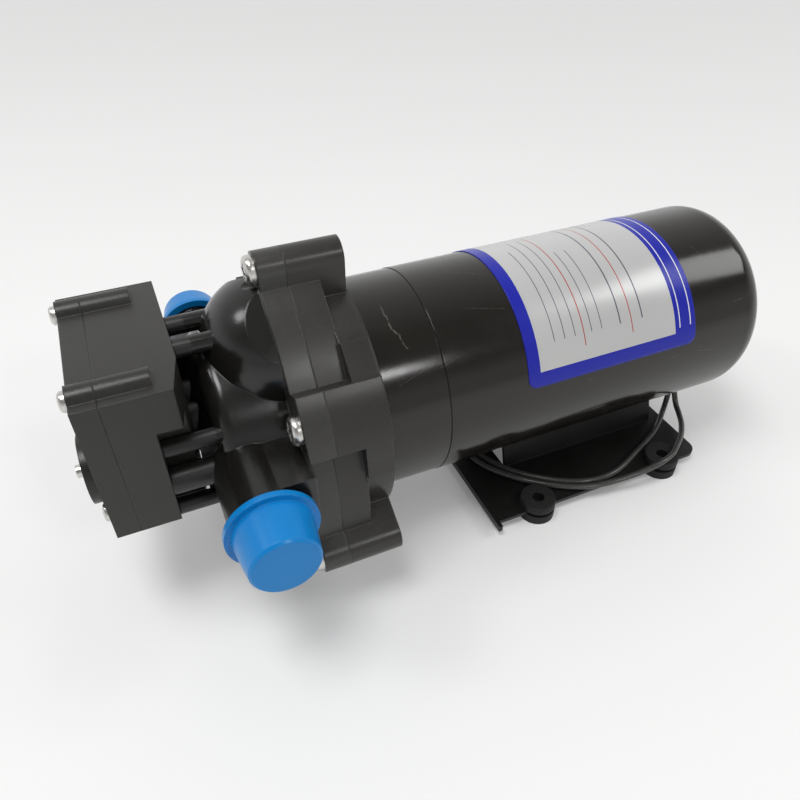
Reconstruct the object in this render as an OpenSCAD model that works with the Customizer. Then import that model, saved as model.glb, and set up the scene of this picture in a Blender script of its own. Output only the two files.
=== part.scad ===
// Caravan water pump: a three chamber diaphragm pump on a permanent magnet motor.
// The motor axis runs along X with the pump head at -X. Z is up from the mounting plane.
// The origin is the middle of the four mounting feet.

/* [Overall] */
// Height of the motor axis above the mounting plane
axis_h = 53; // [52:1:64]
// Distance from the middle of the base forward to the front face of the motor
base_offset = 89; // [84:1:96]

/* [Motor] */
// Outside diameter of the motor can
motor_d = 73; // [68:0.5:78]
// Wall of the drawn can
can_wall = 1.5; // [1:0.1:2.2]
// Length of the drawn can
can_len = 131; // [124:1:150]
// Radius of the rounded rear edge of the can
can_corner = 10; // [4:0.5:14]
// Length of the front bell
bell_len = 22; // [18:0.5:28]
// Diameter of the motor shaft
shaft_d = 8; // [6:0.5:9]

/* [Label] */
// Length of the label along the can
label_len = 68; // [40:1:80]
// Distance from the front of the can to the label
label_setback = 28; // [20:1:40]
// Part of the can that the label wraps, in degrees
label_wrap = 132; // [90:1:200]
// Lower edge of the label, in degrees from the far side over the top
label_edge = 167; // [150:1:180]

/* [Pump head] */
// Distance from the motor axis to the middle of a side of the three-sided joint flange
flange_r = 38; // [37.5:0.5:40]
// Thickness of the upper housing flange
upper_flange_t = 8.2; // [7.5:0.1:12]
// Length of the lower housing
lower_len = 18.5; // [18:0.5:24]
// Radius of the top dome
dome_r = 23.5; // [22:0.5:25]
// Radius of the two lower domes
low_dome_r = 20.5; // [19:0.5:22]
// Distance from the motor axis to the centre of a dome
dome_at = 25; // [23:0.5:27]
// Radius of the drum between the domes
drum_r = 31; // [30:0.5:33]
// Length of the drum in front of the flange
drum_len = 21.8; // [20:0.2:26]
// Tilt of the wobble plate, in degrees
wobble_tilt = 4; // [2:0.5:4.5]
// How far the domes and ears are turned from upright, in degrees
head_turn = 2; // [0:0.5:4]

/* [Ports] */
// Radius of the threaded port
port_r = 10.4; // [9:0.1:11]
// Radius of the port bore
port_bore_r = 6.5; // [5:0.1:7]
// Distance from the middle plane to the end of a port
port_reach = 56; // [52:0.5:62]
// Height of the port axis above the motor axis
port_rise = 1.2; // [0:0.1:3]

/* [Port caps] */
// Radius of the cap rim
cap_rim_r = 13.6; // [13:0.1:16]
// Length of a cap
cap_len = 15; // [12:0.5:20]
// How far a cap is pushed over its port
cap_grip = 5; // [3:0.5:7]
// Wall of a cap
cap_wall = 0.9; // [0.7:0.1:1.4]

/* [Pressure switch] */
// Width of the switch housing
box_w = 57.6; // [54:0.2:64]
// Height of the switch housing
box_h = 47.4; // [45:0.2:52]
// Depth of the switch housing behind the cover
box_d = 21.5; // [20:0.5:26]
// Thickness of the switch cover
cover_t = 7; // [6:0.5:10]
// Clear gap between the drum and the switch housing
neck_gap = 5; // [4:0.5:8]

/* [Base] */
// Length of the base plate
base_len = 94.5; // [88:0.5:106]
// Width of the base plate
base_w = 81; // [78:0.5:92]
// Thickness of the base sheet
sheet_t = 1.5; // [1:0.1:2]
// Spacing of the mounting feet along the motor
foot_dx = 58; // [50:0.5:66]
// Spacing of the mounting feet across the motor
foot_dy = 76; // [72:0.5:84]
// Radius of the hole through a rubber foot
foot_hole_r = 2.3; // [2:0.1:3]

/* [Leads] */
// Diameter of a motor lead
lead_d = 2.3; // [2:0.1:2.6]

/* [Hidden] */
$fn = 96;

// Small overshoot for clean cuts, and the clearances of the fits
cut = 0.5;
seat_clear = 0.03;
run_clear = 0.03;
slip_clear = 0.15;
free_clear = 0.4;

// Colours
black_plastic = [0.07, 0.07, 0.07];
black_paint = [0.05, 0.05, 0.06];
black_rubber = [0.1, 0.1, 0.1];
grey_plastic = [0.3, 0.3, 0.32];
cap_blue = [0.08, 0.45, 0.85];
steel = [0.72, 0.72, 0.74];
copper = [0.75, 0.42, 0.22];
brass = [0.78, 0.62, 0.3];
carbon = [0.16, 0.16, 0.17];
ferrite = [0.25, 0.25, 0.27];
label_blue = [0.22, 0.24, 0.75];

// Stations along the motor axis
motor_r = motor_d / 2;
x_motor = -base_offset;
x_can = x_motor + bell_len;
x_rear = x_can + can_len;
x_joint = x_motor - lower_len;
x_flange = x_joint - upper_flange_t;
x_drum = x_flange - drum_len;
x_box = x_drum - neck_gap;
x_split = x_box - box_d;
x_front = x_split - cover_t;

// Lower housing
collar_r = flange_r + 4;
lower_flange_t = 9.5;
lower_wall = 3;
cavity_r = flange_r - 3.5;
x_cavity = x_motor - lower_wall;
motor_screw_at = 29;
motor_screw_r = 2;

// Three-sided flange: each side is an arc, and the corners carry narrow round ears
side_bow = 46;
long_ears = [for (k = [0 : 2]) 90 + head_turn + 120 * k];
short_ears = [for (a = long_ears) a + 60];
long_screw_at = flange_r + 14.2;
short_screw_at = flange_r + 2;
long_ear_w = 10.8;
short_ear_w = 19.6;
short_ear_r = flange_r + 7;
ear_root = flange_r - 4;
ear_setback = 1;
pad_turn = 20.5;
pad_w = 12;
pad_r = collar_r + 1.4;
head_screw_r = 2.2;
head_screw_depth = 5;
screw_head_r = 4.5;
screw_head_h = 2.8;
spot_face_r = 5.1;

// Parts clamped at the housing joint
membrane_t = 2;
plate_rim_t = 3;
plate_depth = 9.5;
clamp_r = cavity_r;
chamber_at = 19.5;
chamber_r = 12;
chamber_deep = 6.6;
plate_hub_r = 14;
x_plate = x_joint - membrane_t;
x_plate_front = x_plate - plate_depth;
x_dome = x_joint - 4.5;
seal_at = clamp_r - 1.3;
seal_d = 1.5;

// Wobble drive
wobble_x = x_joint + 6.5;
plate_face = 2.5;
journal_r = 6;
race_w = 7;
ball_r = 1.9;
ball_at = 9.6;
ball_count = 7;
inner_race_r = 8.6;
outer_race_r = 10.6;
bearing_r = 13.5;
wobble_plate_r = 29;
piston_boss_r = 7.5;
piston_boss_h = 6;
piston_disc_r = 8.6;
piston_disc_t = 2;
piston_screw_r = 1.6;
membrane_hole_r = piston_disc_r + 1.4;
cam_hub_r = 9;
cam_hub_t = 3.6;
x_cam_hub = x_cavity - 0.4 - cam_hub_t;
x_shaft_front = wobble_x - race_w / 2 - 1.5;

// Motor inside
bush_r = 8;
bush_len = 9;
magnet_len = 70;
magnet_t = 6;
air_gap = 0.6;
magnet_r = motor_r - can_wall - slip_clear;
core_r = magnet_r - magnet_t - air_gap;
core_len = 60;
slot_count = 12;
slot_w = 3;
slot_deep = 9;
x_core = x_can + (can_len - core_len) / 2 - 20;
winding_len = 11;
winding_r = core_r - 4;
comm_r = 11;
comm_len = 13;
x_comm = x_core + core_len + winding_len + 2;
x_rear_bush = x_rear - can_wall - bush_len;
brush_w = 6;
brush_h = 5;
brush_len = 9;

// Ports and caps
port_x = x_drum + 7.3;
port_z = axis_h + port_rise;
boss_r = 11.2;
boss_reach = port_reach - 7;
web_reach = boss_reach - 0.8;
web_h = 20.8;
port_chamfer = 0.8;
thread_pitch = 1.8;
thread_turns = 3;
thread_deep = 0.9;
thread_half = 0.6;
port_inner = 15;
passage_r = 3.5;
cap_y = port_reach - cap_grip;
cap_rim_t = 2;
cap_end_r = 10;
cap_fit_r = port_r + 0.07 + cap_wall;
cap_mouth_r = cap_fit_r + cap_grip * (cap_fit_r - cap_end_r) / (cap_len - cap_grip);

// Pressure switch
box_top = axis_h + 38.3;
box_bottom = box_top - box_h;
box_boss_r = 4;
box_boss_y = box_w / 2 - 7.3;
box_boss_in = 1;
box_boss_low = 4.2;
box_boss_stop = 7.5;
cover_screw_r = 1.6;
cover_screw_in = 9;
notch_len = 10;
notch_in = 7;
notch_top = axis_h + 25;
chamfer_y = 13.5;
chamfer_x = 3;
switch_y = -12;
switch_z = axis_h + 5;
switch_disc_r = 10.5;
switch_disc_h = 3.5;
switch_membrane_r = 9;
switch_membrane_t = 0.8;
plunger_r = 6;
plunger_t = 1.6;
arm_w = 5;
arm_top = 22;
micro_w = 12;
micro_h = 7;
micro_d = 6;
button_r = 0.9;
button_out = 1.2;
adjust_r = 2;
adjust_out = 2.5;
valve_bore_r = 5.5;
valve_r = 4.7;
valve_t = 1.2;
valve_lift = 0.05;
valve_seat_r = 3.6;
spigot_r = 6;
neck_r = 8;
neck_groove = 2;
return_y = 13.6;
spigot_len = neck_gap + 6;
rib_y = 22;
rib_t = 3;
rib_root = 6;

// Posts that carry the switch housing on the drum: place across, height over the axis, radius, length
posts = [[6, 34.9, 2.9, neck_gap], [23.5, 14.5, 2.6, neck_gap + notch_len],
    [25, 3.3, 4.2, neck_gap + notch_len], [24.5, -8, 2.6, neck_gap + notch_len]];

// Base
plate_z = 3.5;
base_front = -48.25;
base_round = 5;
lip_t = 1.5;
lip_low = 2.4;
lip_w = base_w + 5;
saddle_len = 71;
saddle_x = -31;
saddle_half = 12.5;
saddle_flare = 5;
saddle_open = saddle_half + saddle_flare - 0.9;
saddle_screw_r = 2;
foot_r = 6.7;
foot_waist_r = 4.5;
foot_h = 8;
foot_flange_t = 3;

// Leads: exit from the can and the routes that were chosen along the base
lead_r = lead_d / 2;
lead_sides = 8;
lead_steps = 2;
grommet_x = x_rear - 12;
grommet_angle = 250;
grommet_r = 4.6;
lead_pitch = 1.8;
tip_r = 0.75;
tip_len = 7;
grommet_sag = 0.4;
grommet_lip = 1.5;
exit_way = [0, cos(grommet_angle), sin(grommet_angle)];
exit_side = [0, -sin(grommet_angle), cos(grommet_angle)];
exit_face = [grommet_x, 0, axis_h] + (motor_r + grommet_lip + seat_clear) * exit_way;
function lead_start(side) = [exit_face + side * lead_pitch * exit_side + 0.1 * exit_way,
    exit_face + side * lead_pitch * exit_side + 3.4 * exit_way];
inner_route = concat(lead_start(1), [[50.6, -14, 9.6], [47.4, -16.6, 7.4], [42.6, -20.4, 6.4], [36, -25, 6.3],
    [28, -29, 6.3], [20, -32.6, 6.3], [11.6, -36.2, 6.3], [3, -38.2, 6.3], [-6, -37.4, 6.3],
    [-14, -34.2, 6.3], [-21.2, -29.4, 6.3], [-27.6, -23.8, 6.3], [-33, -17.4, 6.3], [-37, -10, 6.3],
    [-38.6, -2, 6.3], [-38, 6.4, 6.3], [-35, 14, 6.3], [-29, 20, 6.3], [-20, 23, 6.3],
    [-10, 24.6, 6.3], [0, 25.2, 6.3], [10, 25.4, 6.3], [20, 25.2, 6.3], [28, 24.6, 6.3], [36, 23.6, 6.3]]);
outer_route = concat(lead_start(-1), [[51.4, -18.8, 11.2], [50, -22.8, 9.8], [47, -28, 9.5], [42.6, -33, 9.5],
    [37, -37.4, 9.5], [30, -41.6, 9.5], [22, -43.2, 9.2], [13, -43, 7.8], [4, -41.8, 6.4],
    [-5, -40.6, 6.3], [-13, -37.8, 6.3], [-20, -33.8, 6.3], [-27, -28.4, 6.3], [-33.2, -22, 6.3],
    [-38.4, -14.8, 6.3], [-41.2, -7, 6.3], [-41.8, 2, 6.3], [-40.4, 11, 6.3], [-36, 19, 6.3],
    [-28.4, 24.4, 6.3], [-18, 26.8, 6.3], [-7, 28, 6.3], [3, 28.4, 6.3], [13, 28.4, 6.3], [22, 28, 6.3]]);

// Places a child whose Z points along the motor axis
module along_axis(x) {
    translate([x, 0, axis_h]) rotate([0, 90, 0]) children();
}

// Places a child at a polar place round the motor axis, with its Z along the axis
module spoke(angle, r, x) {
    translate([x, 0, axis_h]) rotate([angle, 0, 0]) translate([0, r, 0]) rotate([0, 90, 0]) children();
}

// Extrudes an outline whose X is radial and whose Y is tangential, along the motor axis
module radial_block(angle, x, len) {
    translate([x, 0, axis_h]) rotate([angle, 0, 0]) rotate([90, 0, 90]) linear_extrude(len) children();
}

// Extrudes an outline drawn across the pump, in Y and Z, along the motor axis
module cross_block(x, len) {
    translate([x, 0, 0]) rotate([90, 0, 90]) linear_extrude(len) children();
}

// Places a child on the tilted axis of the wobble plate, with its Z along that axis
module tilted(x) {
    translate([wobble_x, 0, axis_h]) rotate([0, 90 - wobble_tilt, 0]) translate([0, 0, x]) children();
}

// Places a child on a port axis, side 1 is the far side and -1 the near side, with its Z pointing out
module on_port(side, y) {
    translate([port_x, side * y, port_z]) rotate([side * -90, 0, 0]) children();
}

module ring(outer, inner, len) {
    difference() {
        cylinder(r = outer, h = len);
        translate([0, 0, -cut]) cylinder(r = inner, h = len + 2 * cut);
    }
}

// A pan head with its flat at zero and a cross recess, and its shank behind it
module pan_screw(head_r, head_h, shank_r, shank_len) {
    round = head_h * 0.6;
    recess = head_r * 1.2;
    slot = head_r * 0.28;
    difference() {
        rotate_extrude() {
            square([head_r - round, head_h]);
            square([head_r, head_h - round]);
            intersection() {
                translate([head_r - round, head_h - round]) circle(round);
                square([head_r, head_h]);
            }
        }
        for (turn = [0, 90]) rotate(turn)
            translate([-recess / 2, -slot / 2, head_h * 0.45]) cube([recess, slot, head_h]);
    }
    translate([0, 0, -shank_len]) cylinder(r = shank_r, h = shank_len + head_h * 0.3);
}

// A smooth path through the route points, and a tube swept along a path
function mix4(a, b, c, d, t) = 0.5 * (2 * b + (c - a) * t + (2 * a - 5 * b + 4 * c - d) * t * t
    + (3 * b - a - 3 * c + d) * t * t * t);
function pick(list, i) = list[max(0, min(len(list) - 1, i))];
function smooth(route, steps) = [for (i = [0 : len(route) - 2]) for (s = [0 : steps - 1])
    mix4(pick(route, i - 1), route[i], route[i + 1], pick(route, i + 2), s / steps), route[len(route) - 1]];
function unit(v) = v / norm(v);
function heading(path, i) = unit(pick(path, i + 1) - pick(path, i - 1));
function path_length(path) = [for (i = [1 : len(path) - 1]) norm(path[i] - path[i - 1])]
    * [for (i = [1 : len(path) - 1]) 1];

module tube(path, r, sides, lean) {
    last = len(path) - 1;
    points = [for (i = [0 : last]) let (t = heading(path, i), u = unit(cross(lean, t)), v = cross(t, u))
        for (k = [0 : sides - 1]) path[i] + r * (cos(360 * k / sides) * u + sin(360 * k / sides) * v)];
    walls = [for (i = [0 : last - 1]) for (k = [0 : sides - 1])
        let (a = i * sides + k, b = i * sides + (k + 1) % sides)
            each [[a, a + sides, b], [b, a + sides, b + sides]]];
    front = [for (k = [1 : sides - 2]) [0, k, k + 1]];
    back = [for (k = [1 : sides - 2]) [last * sides, last * sides + k + 1, last * sides + k]];
    polyhedron(points, concat(walls, front, back));
}

// A coil spring along the motor axis with ground ends, from x forward
module coil(y, z, x, len, r, wire_r, turns) {
    rings = 8;
    total = turns * rings;
    path = [for (i = [0 : total]) [x - wire_r - (len - 2 * wire_r) * i / total,
        y + r * cos(360 * i / rings), z + r * sin(360 * i / rings)]];
    echo(coil_gap = (len - 2 * wire_r) / turns - 2 * wire_r);
    tube(path, wire_r, 6, [1, 0, 0]);
}

// Outline of a drawn can: radius across, length along, with a round edge at the far end
module can_outline(r, len, corner) {
    square([r, len - corner]);
    square([r - corner, len]);
    intersection() {
        translate([r - corner, len - corner]) circle(corner);
        square([r, len]);
    }
}

// Outline of the flange: three arcs, each flange_r - inset from the axis at its middle
module flange_outline(inset) {
    intersection_for(a = short_ears) rotate(a) translate([-side_bow, 0]) circle(flange_r + side_bow - inset);
}

// Outline of all the ears: round ones at the corners, wide ones with a round face on the sides
module ear_outlines() {
    half = long_ear_w / 2;
    for (a = long_ears) rotate(a) {
        translate([ear_root, -half]) square([long_screw_at - ear_root, long_ear_w]);
        translate([long_screw_at, 0]) circle(half);
    }
    intersection() {
        circle(short_ear_r);
        for (a = short_ears) rotate(a) translate([ear_root, -short_ear_w / 2])
            square([short_ear_r, short_ear_w]);
    }
}

// Puts a child on every head screw axis, with its Z towards the motor
module head_screw_places(x) {
    for (a = long_ears) spoke(a, long_screw_at, x) children();
    for (a = short_ears) spoke(a, short_screw_at, x) children();
}

// Base: a flat stamping with turned down ends and a saddle pressed up under the can
module saddle_outline(inset) {
    polygon([[inset - saddle_half - saddle_flare, plate_z], [inset - saddle_half, axis_h - motor_r + 4],
        [saddle_half - inset, axis_h - motor_r + 4], [saddle_half + saddle_flare - inset, plate_z]]);
}

module saddle_screw_places() {
    for (x = [0.25, 0.75]) translate([saddle_x + x * saddle_len, 0, axis_h - motor_r]) children();
}

module foot_places() {
    for (x = [-1, 1]) for (y = [-1, 1]) translate([x * foot_dx / 2, y * foot_dy / 2, 0]) children();
}

// Outline of the sheet, square in front and with round corners at the rear
module base_outline() {
    translate([base_front, -base_w / 2]) square([base_len - base_round, base_w]);
    translate([base_front, base_round - base_w / 2]) square([base_len, base_w - 2 * base_round]);
    for (s = [-1, 1]) translate([base_front + base_len - base_round, s * (base_w / 2 - base_round)])
        circle(base_round);
}

module base_plate() {
    color(black_paint) difference() {
        union() {
            difference() {
                translate([0, 0, plate_z]) linear_extrude(sheet_t) base_outline();
                cross_block(saddle_x, saddle_len) translate([-saddle_open, 0]) square([2 * saddle_open, 20]);
            }
            cross_block(saddle_x, saddle_len) difference() {
                saddle_outline(0);
                translate([0, axis_h]) circle(motor_r + seat_clear);
                difference() {
                    saddle_outline(sheet_t);
                    translate([0, axis_h]) circle(motor_r + seat_clear + sheet_t);
                }
            }
            for (lip = [[base_front, lip_w], [base_front + base_len - lip_t, base_w - 2 * base_round]])
                translate([lip[0], -lip[1] / 2, lip_low]) cube([lip_t, lip[1], plate_z + sheet_t - lip_low]);
        }
        foot_places() cylinder(r = foot_waist_r + seat_clear, h = foot_h);
        saddle_screw_places() translate([0, 0, -2 * sheet_t])
            cylinder(r = saddle_screw_r + slip_clear, h = 4 * sheet_t);
    }
}

// Four rubber feet snapped into the edge of the plate
module rubber_feet() {
    waist = sheet_t + 2 * seat_clear;
    color(black_rubber) foot_places() rotate_extrude() difference() {
        square([foot_r, foot_h]);
        square([foot_hole_r, foot_h]);
        translate([foot_waist_r, plate_z - seat_clear]) square([foot_r, waist]);
        translate([foot_r, plate_z + waist]) polygon([[-1.2, foot_h], [0, 1.5], [1, foot_h]]);
    }
}

module saddle_screws() {
    color(steel) saddle_screw_places() translate([0, 0, -sheet_t - 2 * seat_clear]) rotate([180, 0, 0])
        pan_screw(3.6, 2.2, saddle_screw_r, sheet_t + can_wall + 2);
}

// Motor shell
module motor_can() {
    color(black_paint) difference() {
        union() {
            along_axis(x_can) rotate_extrude() difference() {
                can_outline(motor_r, can_len, can_corner);
                can_outline(motor_r - can_wall, can_len - can_wall, can_corner - can_wall);
            }
            along_axis(x_rear_bush) cylinder(r = bush_r + 2.5, h = bush_len + can_wall / 2);
        }
        along_axis(x_rear_bush - cut) cylinder(r = bush_r + seat_clear, h = bush_len + cut);
        saddle_screw_places() translate([0, 0, -cut])
            cylinder(r = saddle_screw_r + seat_clear, h = can_wall + 2 * cut);
        lead_exit(motor_r - 2 * can_wall) cylinder(r = grommet_r - 1 + seat_clear, h = 4 * can_wall);
    }
}

module front_bell() {
    spigot = 4;
    wall = 2.5;
    face = 4;
    bell_r = motor_r - 0.2;
    color(black_paint) difference() {
        union() {
            along_axis(x_motor) cylinder(r = bell_r, h = bell_len);
            along_axis(x_can) cylinder(r = motor_r - can_wall - seat_clear, h = spigot);
        }
        along_axis(x_motor + face) difference() {
            cylinder(r = bell_r - wall - can_wall, h = bell_len + spigot);
            translate([0, 0, -cut]) cylinder(r = bush_r + 3, h = bush_len - face + cut);
        }
        along_axis(x_motor - cut) cylinder(r = bush_r + seat_clear, h = bush_len + 2 * cut);
        motor_screw_places(x_motor - cut) cylinder(r = motor_screw_r + seat_clear, h = face + 2 * cut);
    }
}

module motor_label() {
    thick = 0.25;
    color(label_blue) along_axis(x_can + label_setback) rotate(label_edge - label_wrap + 90)
        rotate_extrude(angle = label_wrap) translate([motor_r + seat_clear, 0]) square([thick, label_len]);
}

// Motor inside
module magnets() {
    sweep = 130;
    color(ferrite) for (a = [0, 180]) along_axis(x_core + (core_len - magnet_len) / 2)
        rotate(a + 90 - sweep / 2)
        rotate_extrude(angle = sweep) translate([magnet_r - magnet_t, 0]) square([magnet_t, magnet_len]);
}

module motor_shaft() {
    color(steel) along_axis(x_shaft_front)
        cylinder(r = shaft_d / 2, h = x_rear - can_wall - 1 - x_shaft_front);
}

module armature_core() {
    color(steel) along_axis(x_core) difference() {
        ring(core_r, shaft_d / 2 + seat_clear, core_len);
        for (k = [0 : slot_count - 1]) rotate(360 * k / slot_count)
            translate([core_r - slot_deep, -slot_w / 2, -cut])
                cube([slot_deep + cut, slot_w, core_len + 2 * cut]);
    }
}

module armature_windings() {
    round = 4;
    color(copper) for (x = [x_core - winding_len, x_core + core_len]) along_axis(x) rotate_extrude()
        translate([shaft_d / 2 + 3, 0]) {
            square([winding_r - round - shaft_d / 2 - 3, winding_len]);
            translate([winding_r - round - shaft_d / 2 - 3, round]) square([round, winding_len - 2 * round]);
            for (z = [round, winding_len - round]) translate([winding_r - round - shaft_d / 2 - 3, z])
                intersection() {
                    circle(round);
                    translate([0, -round]) square(2 * round);
                }
        }
}

module commutator() {
    bars = 12;
    color(copper) along_axis(x_comm) difference() {
        ring(comm_r, shaft_d / 2 + seat_clear, comm_len);
        for (k = [0 : bars - 1]) rotate(360 * (k + 0.5) / bars)
            translate([comm_r - 1.5, -0.3, -cut]) cube([3, 0.6, comm_len + 2 * cut]);
    }
}

module front_bush() {
    color(brass) along_axis(x_motor) ring(bush_r, shaft_d / 2 + run_clear, bush_len);
}

module rear_bush() {
    color(brass) along_axis(x_rear_bush) ring(bush_r, shaft_d / 2 + run_clear, bush_len - seat_clear);
}

// Brush gear stands round the commutator
module brush_places() {
    for (a = [0, 180]) translate([x_comm + comm_len / 2, 0, axis_h]) rotate([a, 0, 0]) children();
}

module brush_plate() {
    thick = 2.5;
    guide = 1.2;
    brush_top = comm_r + 1.5;
    guide_len = magnet_r - 4 - brush_top;
    color(black_plastic) difference() {
        union() {
            along_axis(x_comm + comm_len / 2 + brush_h / 2 + guide)
                ring(motor_r - can_wall - slip_clear, comm_r + 3, thick);
            brush_places() translate([-brush_h / 2 - guide, brush_top, -brush_w / 2 - guide])
                cube([brush_h + 2 * guide + cut, guide_len, brush_w + 2 * guide]);
        }
        brush_places() translate([-brush_h / 2 - slip_clear, 0, -brush_w / 2 - slip_clear])
            cube([brush_h + 2 * slip_clear, magnet_r - 5, brush_w + 2 * slip_clear]);
    }
}

module brushes() {
    color(carbon) brush_places() translate([-brush_h / 2, comm_r + run_clear, -brush_w / 2])
        cube([brush_h, brush_len, brush_w]);
}

module brush_springs() {
    start = comm_r + brush_len + 2 * run_clear;
    stop = magnet_r - 5 - run_clear;
    wire = 0.35;
    turns = 4;
    rings = 8;
    total = turns * rings;
    path = [for (i = [0 : total]) [1.8 * cos(360 * i / rings),
        start + wire + (stop - start - 2 * wire) * i / total, 1.8 * sin(360 * i / rings)]];
    color(steel) brush_places() tube(path, wire, 6, [0, 1, 0]);
}

// Drive housing between the motor and the pump head
module motor_screw_places(x) {
    for (a = [45, 135, 225, 315]) spoke(a, motor_screw_at, x) children();
}

module lower_housing() {
    x_collar = x_joint + lower_flange_t;
    color(black_plastic) difference() {
        union() {
            radial_block(0, x_joint, lower_flange_t) {
                flange_outline(0);
                ear_outlines();
            }
            // Collar with the ears running back beside the motor, and a flat pad on each side of a wide ear
            radial_block(0, x_collar - cut, lower_len - lower_flange_t - ear_setback + cut) {
                circle(collar_r);
                ear_outlines();
                for (a = short_ears) for (s = [-1, 1]) rotate(a + s * pad_turn)
                    translate([ear_root, -pad_w / 2]) square([pad_r - ear_root, pad_w]);
            }
            along_axis(x_collar) cylinder(r = collar_r - 0.6, h = lower_len - lower_flange_t);
        }
        along_axis(x_joint - cut) cylinder(r = cavity_r, h = lower_len - lower_wall + cut);
        along_axis(x_cavity - cut) cylinder(r = bush_r + 2, h = lower_wall + 2 * cut);
        motor_screw_places(x_cavity - cut) cylinder(r = motor_screw_r + slip_clear, h = lower_wall + 2 * cut);
        head_screw_places(x_joint - cut)
            cylinder(r = head_screw_r + seat_clear, h = lower_len - ear_setback - head_screw_depth + cut);
    }
}

module motor_screws() {
    color(steel) motor_screw_places(x_cavity - seat_clear) rotate([180, 0, 0])
        pan_screw(3.4, 2, motor_screw_r, lower_wall + 4);
}

// Tilted cam with its shoulder and the hub that is locked to the shaft
module cam() {
    shoulder = 1;
    color(steel) difference() {
        union() {
            tilted(-race_w / 2) cylinder(r = journal_r, h = race_w + shoulder);
            tilted(race_w / 2) cylinder(r = journal_r + 1.2, h = shoulder);
            along_axis(x_cam_hub) cylinder(r = cam_hub_r, h = cam_hub_t);
            along_axis(wobble_x + 2) cylinder(r = journal_r - 0.5, h = x_cam_hub - wobble_x);
        }
        along_axis(x_shaft_front - cut) cylinder(r = shaft_d / 2 + seat_clear, h = 40);
        set_screw_place() cylinder(r = 1.5 + seat_clear, h = cam_hub_r + cut);
    }
}

module set_screw_place() {
    translate([x_cam_hub + cam_hub_t / 2, 0, axis_h]) children();
}

module cam_set_screw() {
    start = shaft_d / 2 + 2 * seat_clear;
    color(steel) set_screw_place() difference() {
        translate([0, 0, start]) cylinder(r = 1.5, h = cam_hub_r - start);
        translate([0, 0, cam_hub_r - 1.5]) cylinder(r = 0.8, h = 3, $fn = 6);
    }
}

module race(outer, inner) {
    difference() {
        ring(outer, inner, race_w);
        rotate_extrude() translate([ball_at, race_w / 2]) circle(ball_r + 0.12);
    }
}

module cam_bearing_inner() {
    color(steel) tilted(-race_w / 2) race(inner_race_r, journal_r + seat_clear);
}

module cam_bearing_balls() {
    color(steel) tilted(0) for (k = [0 : ball_count - 1]) rotate(360 * k / ball_count + 20)
        translate([ball_at, 0, 0]) sphere(r = ball_r);
}

module cam_bearing_outer() {
    color(steel) tilted(-race_w / 2) race(bearing_r, outer_race_r);
}

// Puts a child on the three piston axes of the wobble plate
module piston_places(x) {
    for (a = long_ears) tilted(x) rotate(a + 90) translate([chamber_at, 0, 0]) children();
}

module wobble_plate() {
    face = -plate_face;
    rim = 2.5;
    rib_h = 5;
    color(grey_plastic) difference() {
        union() {
            tilted(face) cylinder(r = wobble_plate_r, h = rim);
            tilted(-race_w / 2) cylinder(r = bearing_r + 3, h = race_w);
            piston_places(face - piston_boss_h) cylinder(r = piston_boss_r, h = piston_boss_h + rim / 2);
            for (k = [0 : 11]) tilted(face) rotate(30 * k + 15)
                translate([bearing_r + 1, -1, 0]) cube([wobble_plate_r - bearing_r - 3, 2, rib_h]);
        }
        tilted(face - piston_boss_h - cut)
            cylinder(r = bearing_r + seat_clear, h = piston_boss_h + 2 * race_w);
        piston_places(face - piston_boss_h - cut)
            cylinder(r = piston_screw_r + seat_clear, h = piston_boss_h + rim + cut - 1);
    }
}

module piston_discs() {
    front = -plate_face - piston_boss_h - piston_disc_t;
    color(grey_plastic) piston_places(front) difference() {
        ring(piston_disc_r, piston_screw_r + slip_clear, piston_disc_t - seat_clear);
        translate([0, 0, -cut]) cylinder(r = 3.4, h = cut + 0.8);
    }
}

module piston_screws() {
    front = -plate_face - piston_boss_h - piston_disc_t + 0.8 - seat_clear;
    color(steel) piston_places(front) rotate([180, 0, 0]) pan_screw(2.9, 1.6, piston_screw_r, piston_boss_h);
}

// Rubber diaphragm clamped round its edge, with a roll round each piston
module diaphragm() {
    roll = 0.9;
    color(black_rubber) difference() {
        union() {
            along_axis(x_plate) cylinder(r = clamp_r - slip_clear, h = membrane_t);
            for (a = long_ears) spoke(a, chamber_at, x_joint) rotate_extrude()
                translate([membrane_hole_r + roll, 0]) circle(roll);
        }
        for (a = long_ears) spoke(a, chamber_at, x_plate - cut)
            cylinder(r = membrane_hole_r, h = 4 * membrane_t);
    }
}

// Valve plate with a cup for each piston and its ports
module valve_plate() {
    web = plate_depth - chamber_deep;
    color(grey_plastic) difference() {
        union() {
            along_axis(x_plate - plate_rim_t)
                cylinder(r = clamp_r - slip_clear, h = plate_rim_t - seat_clear);
            for (a = long_ears) spoke(a, chamber_at, x_plate_front)
                cylinder(r = chamber_r, h = plate_depth - seat_clear);
            along_axis(x_plate_front) cylinder(r = plate_hub_r, h = plate_depth - seat_clear);
        }
        for (a = long_ears) {
            spoke(a, chamber_at, x_plate_front + web) cylinder(r = chamber_r - 1.5, h = plate_depth);
            for (turn = [0 : 60 : 300]) spoke(a, chamber_at + 5, x_plate_front - cut) rotate(turn)
                translate([3, 0, 0]) cylinder(r = 0.9, h = web + 2 * cut);
            spoke(a, chamber_at + 5, x_plate_front - cut) cylinder(r = 1.2 + seat_clear, h = web + 2 * cut);
            for (turn = [-9, 9]) spoke(a + turn, chamber_at - 9.3, x_plate_front - cut)
                cylinder(r = 0.9, h = plate_depth);
        }
        along_axis(x_plate_front - cut) cylinder(r = 1.6 + seat_clear, h = web + 2 * cut);
        along_axis(x_plate - plate_rim_t - cut)
            ring(seal_at + seal_d / 2 + 0.1, seal_at - seal_d / 2 - 0.1, seal_d + cut);
        along_axis(x_plate_front + web) cylinder(r = 7, h = plate_depth);
    }
}

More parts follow.
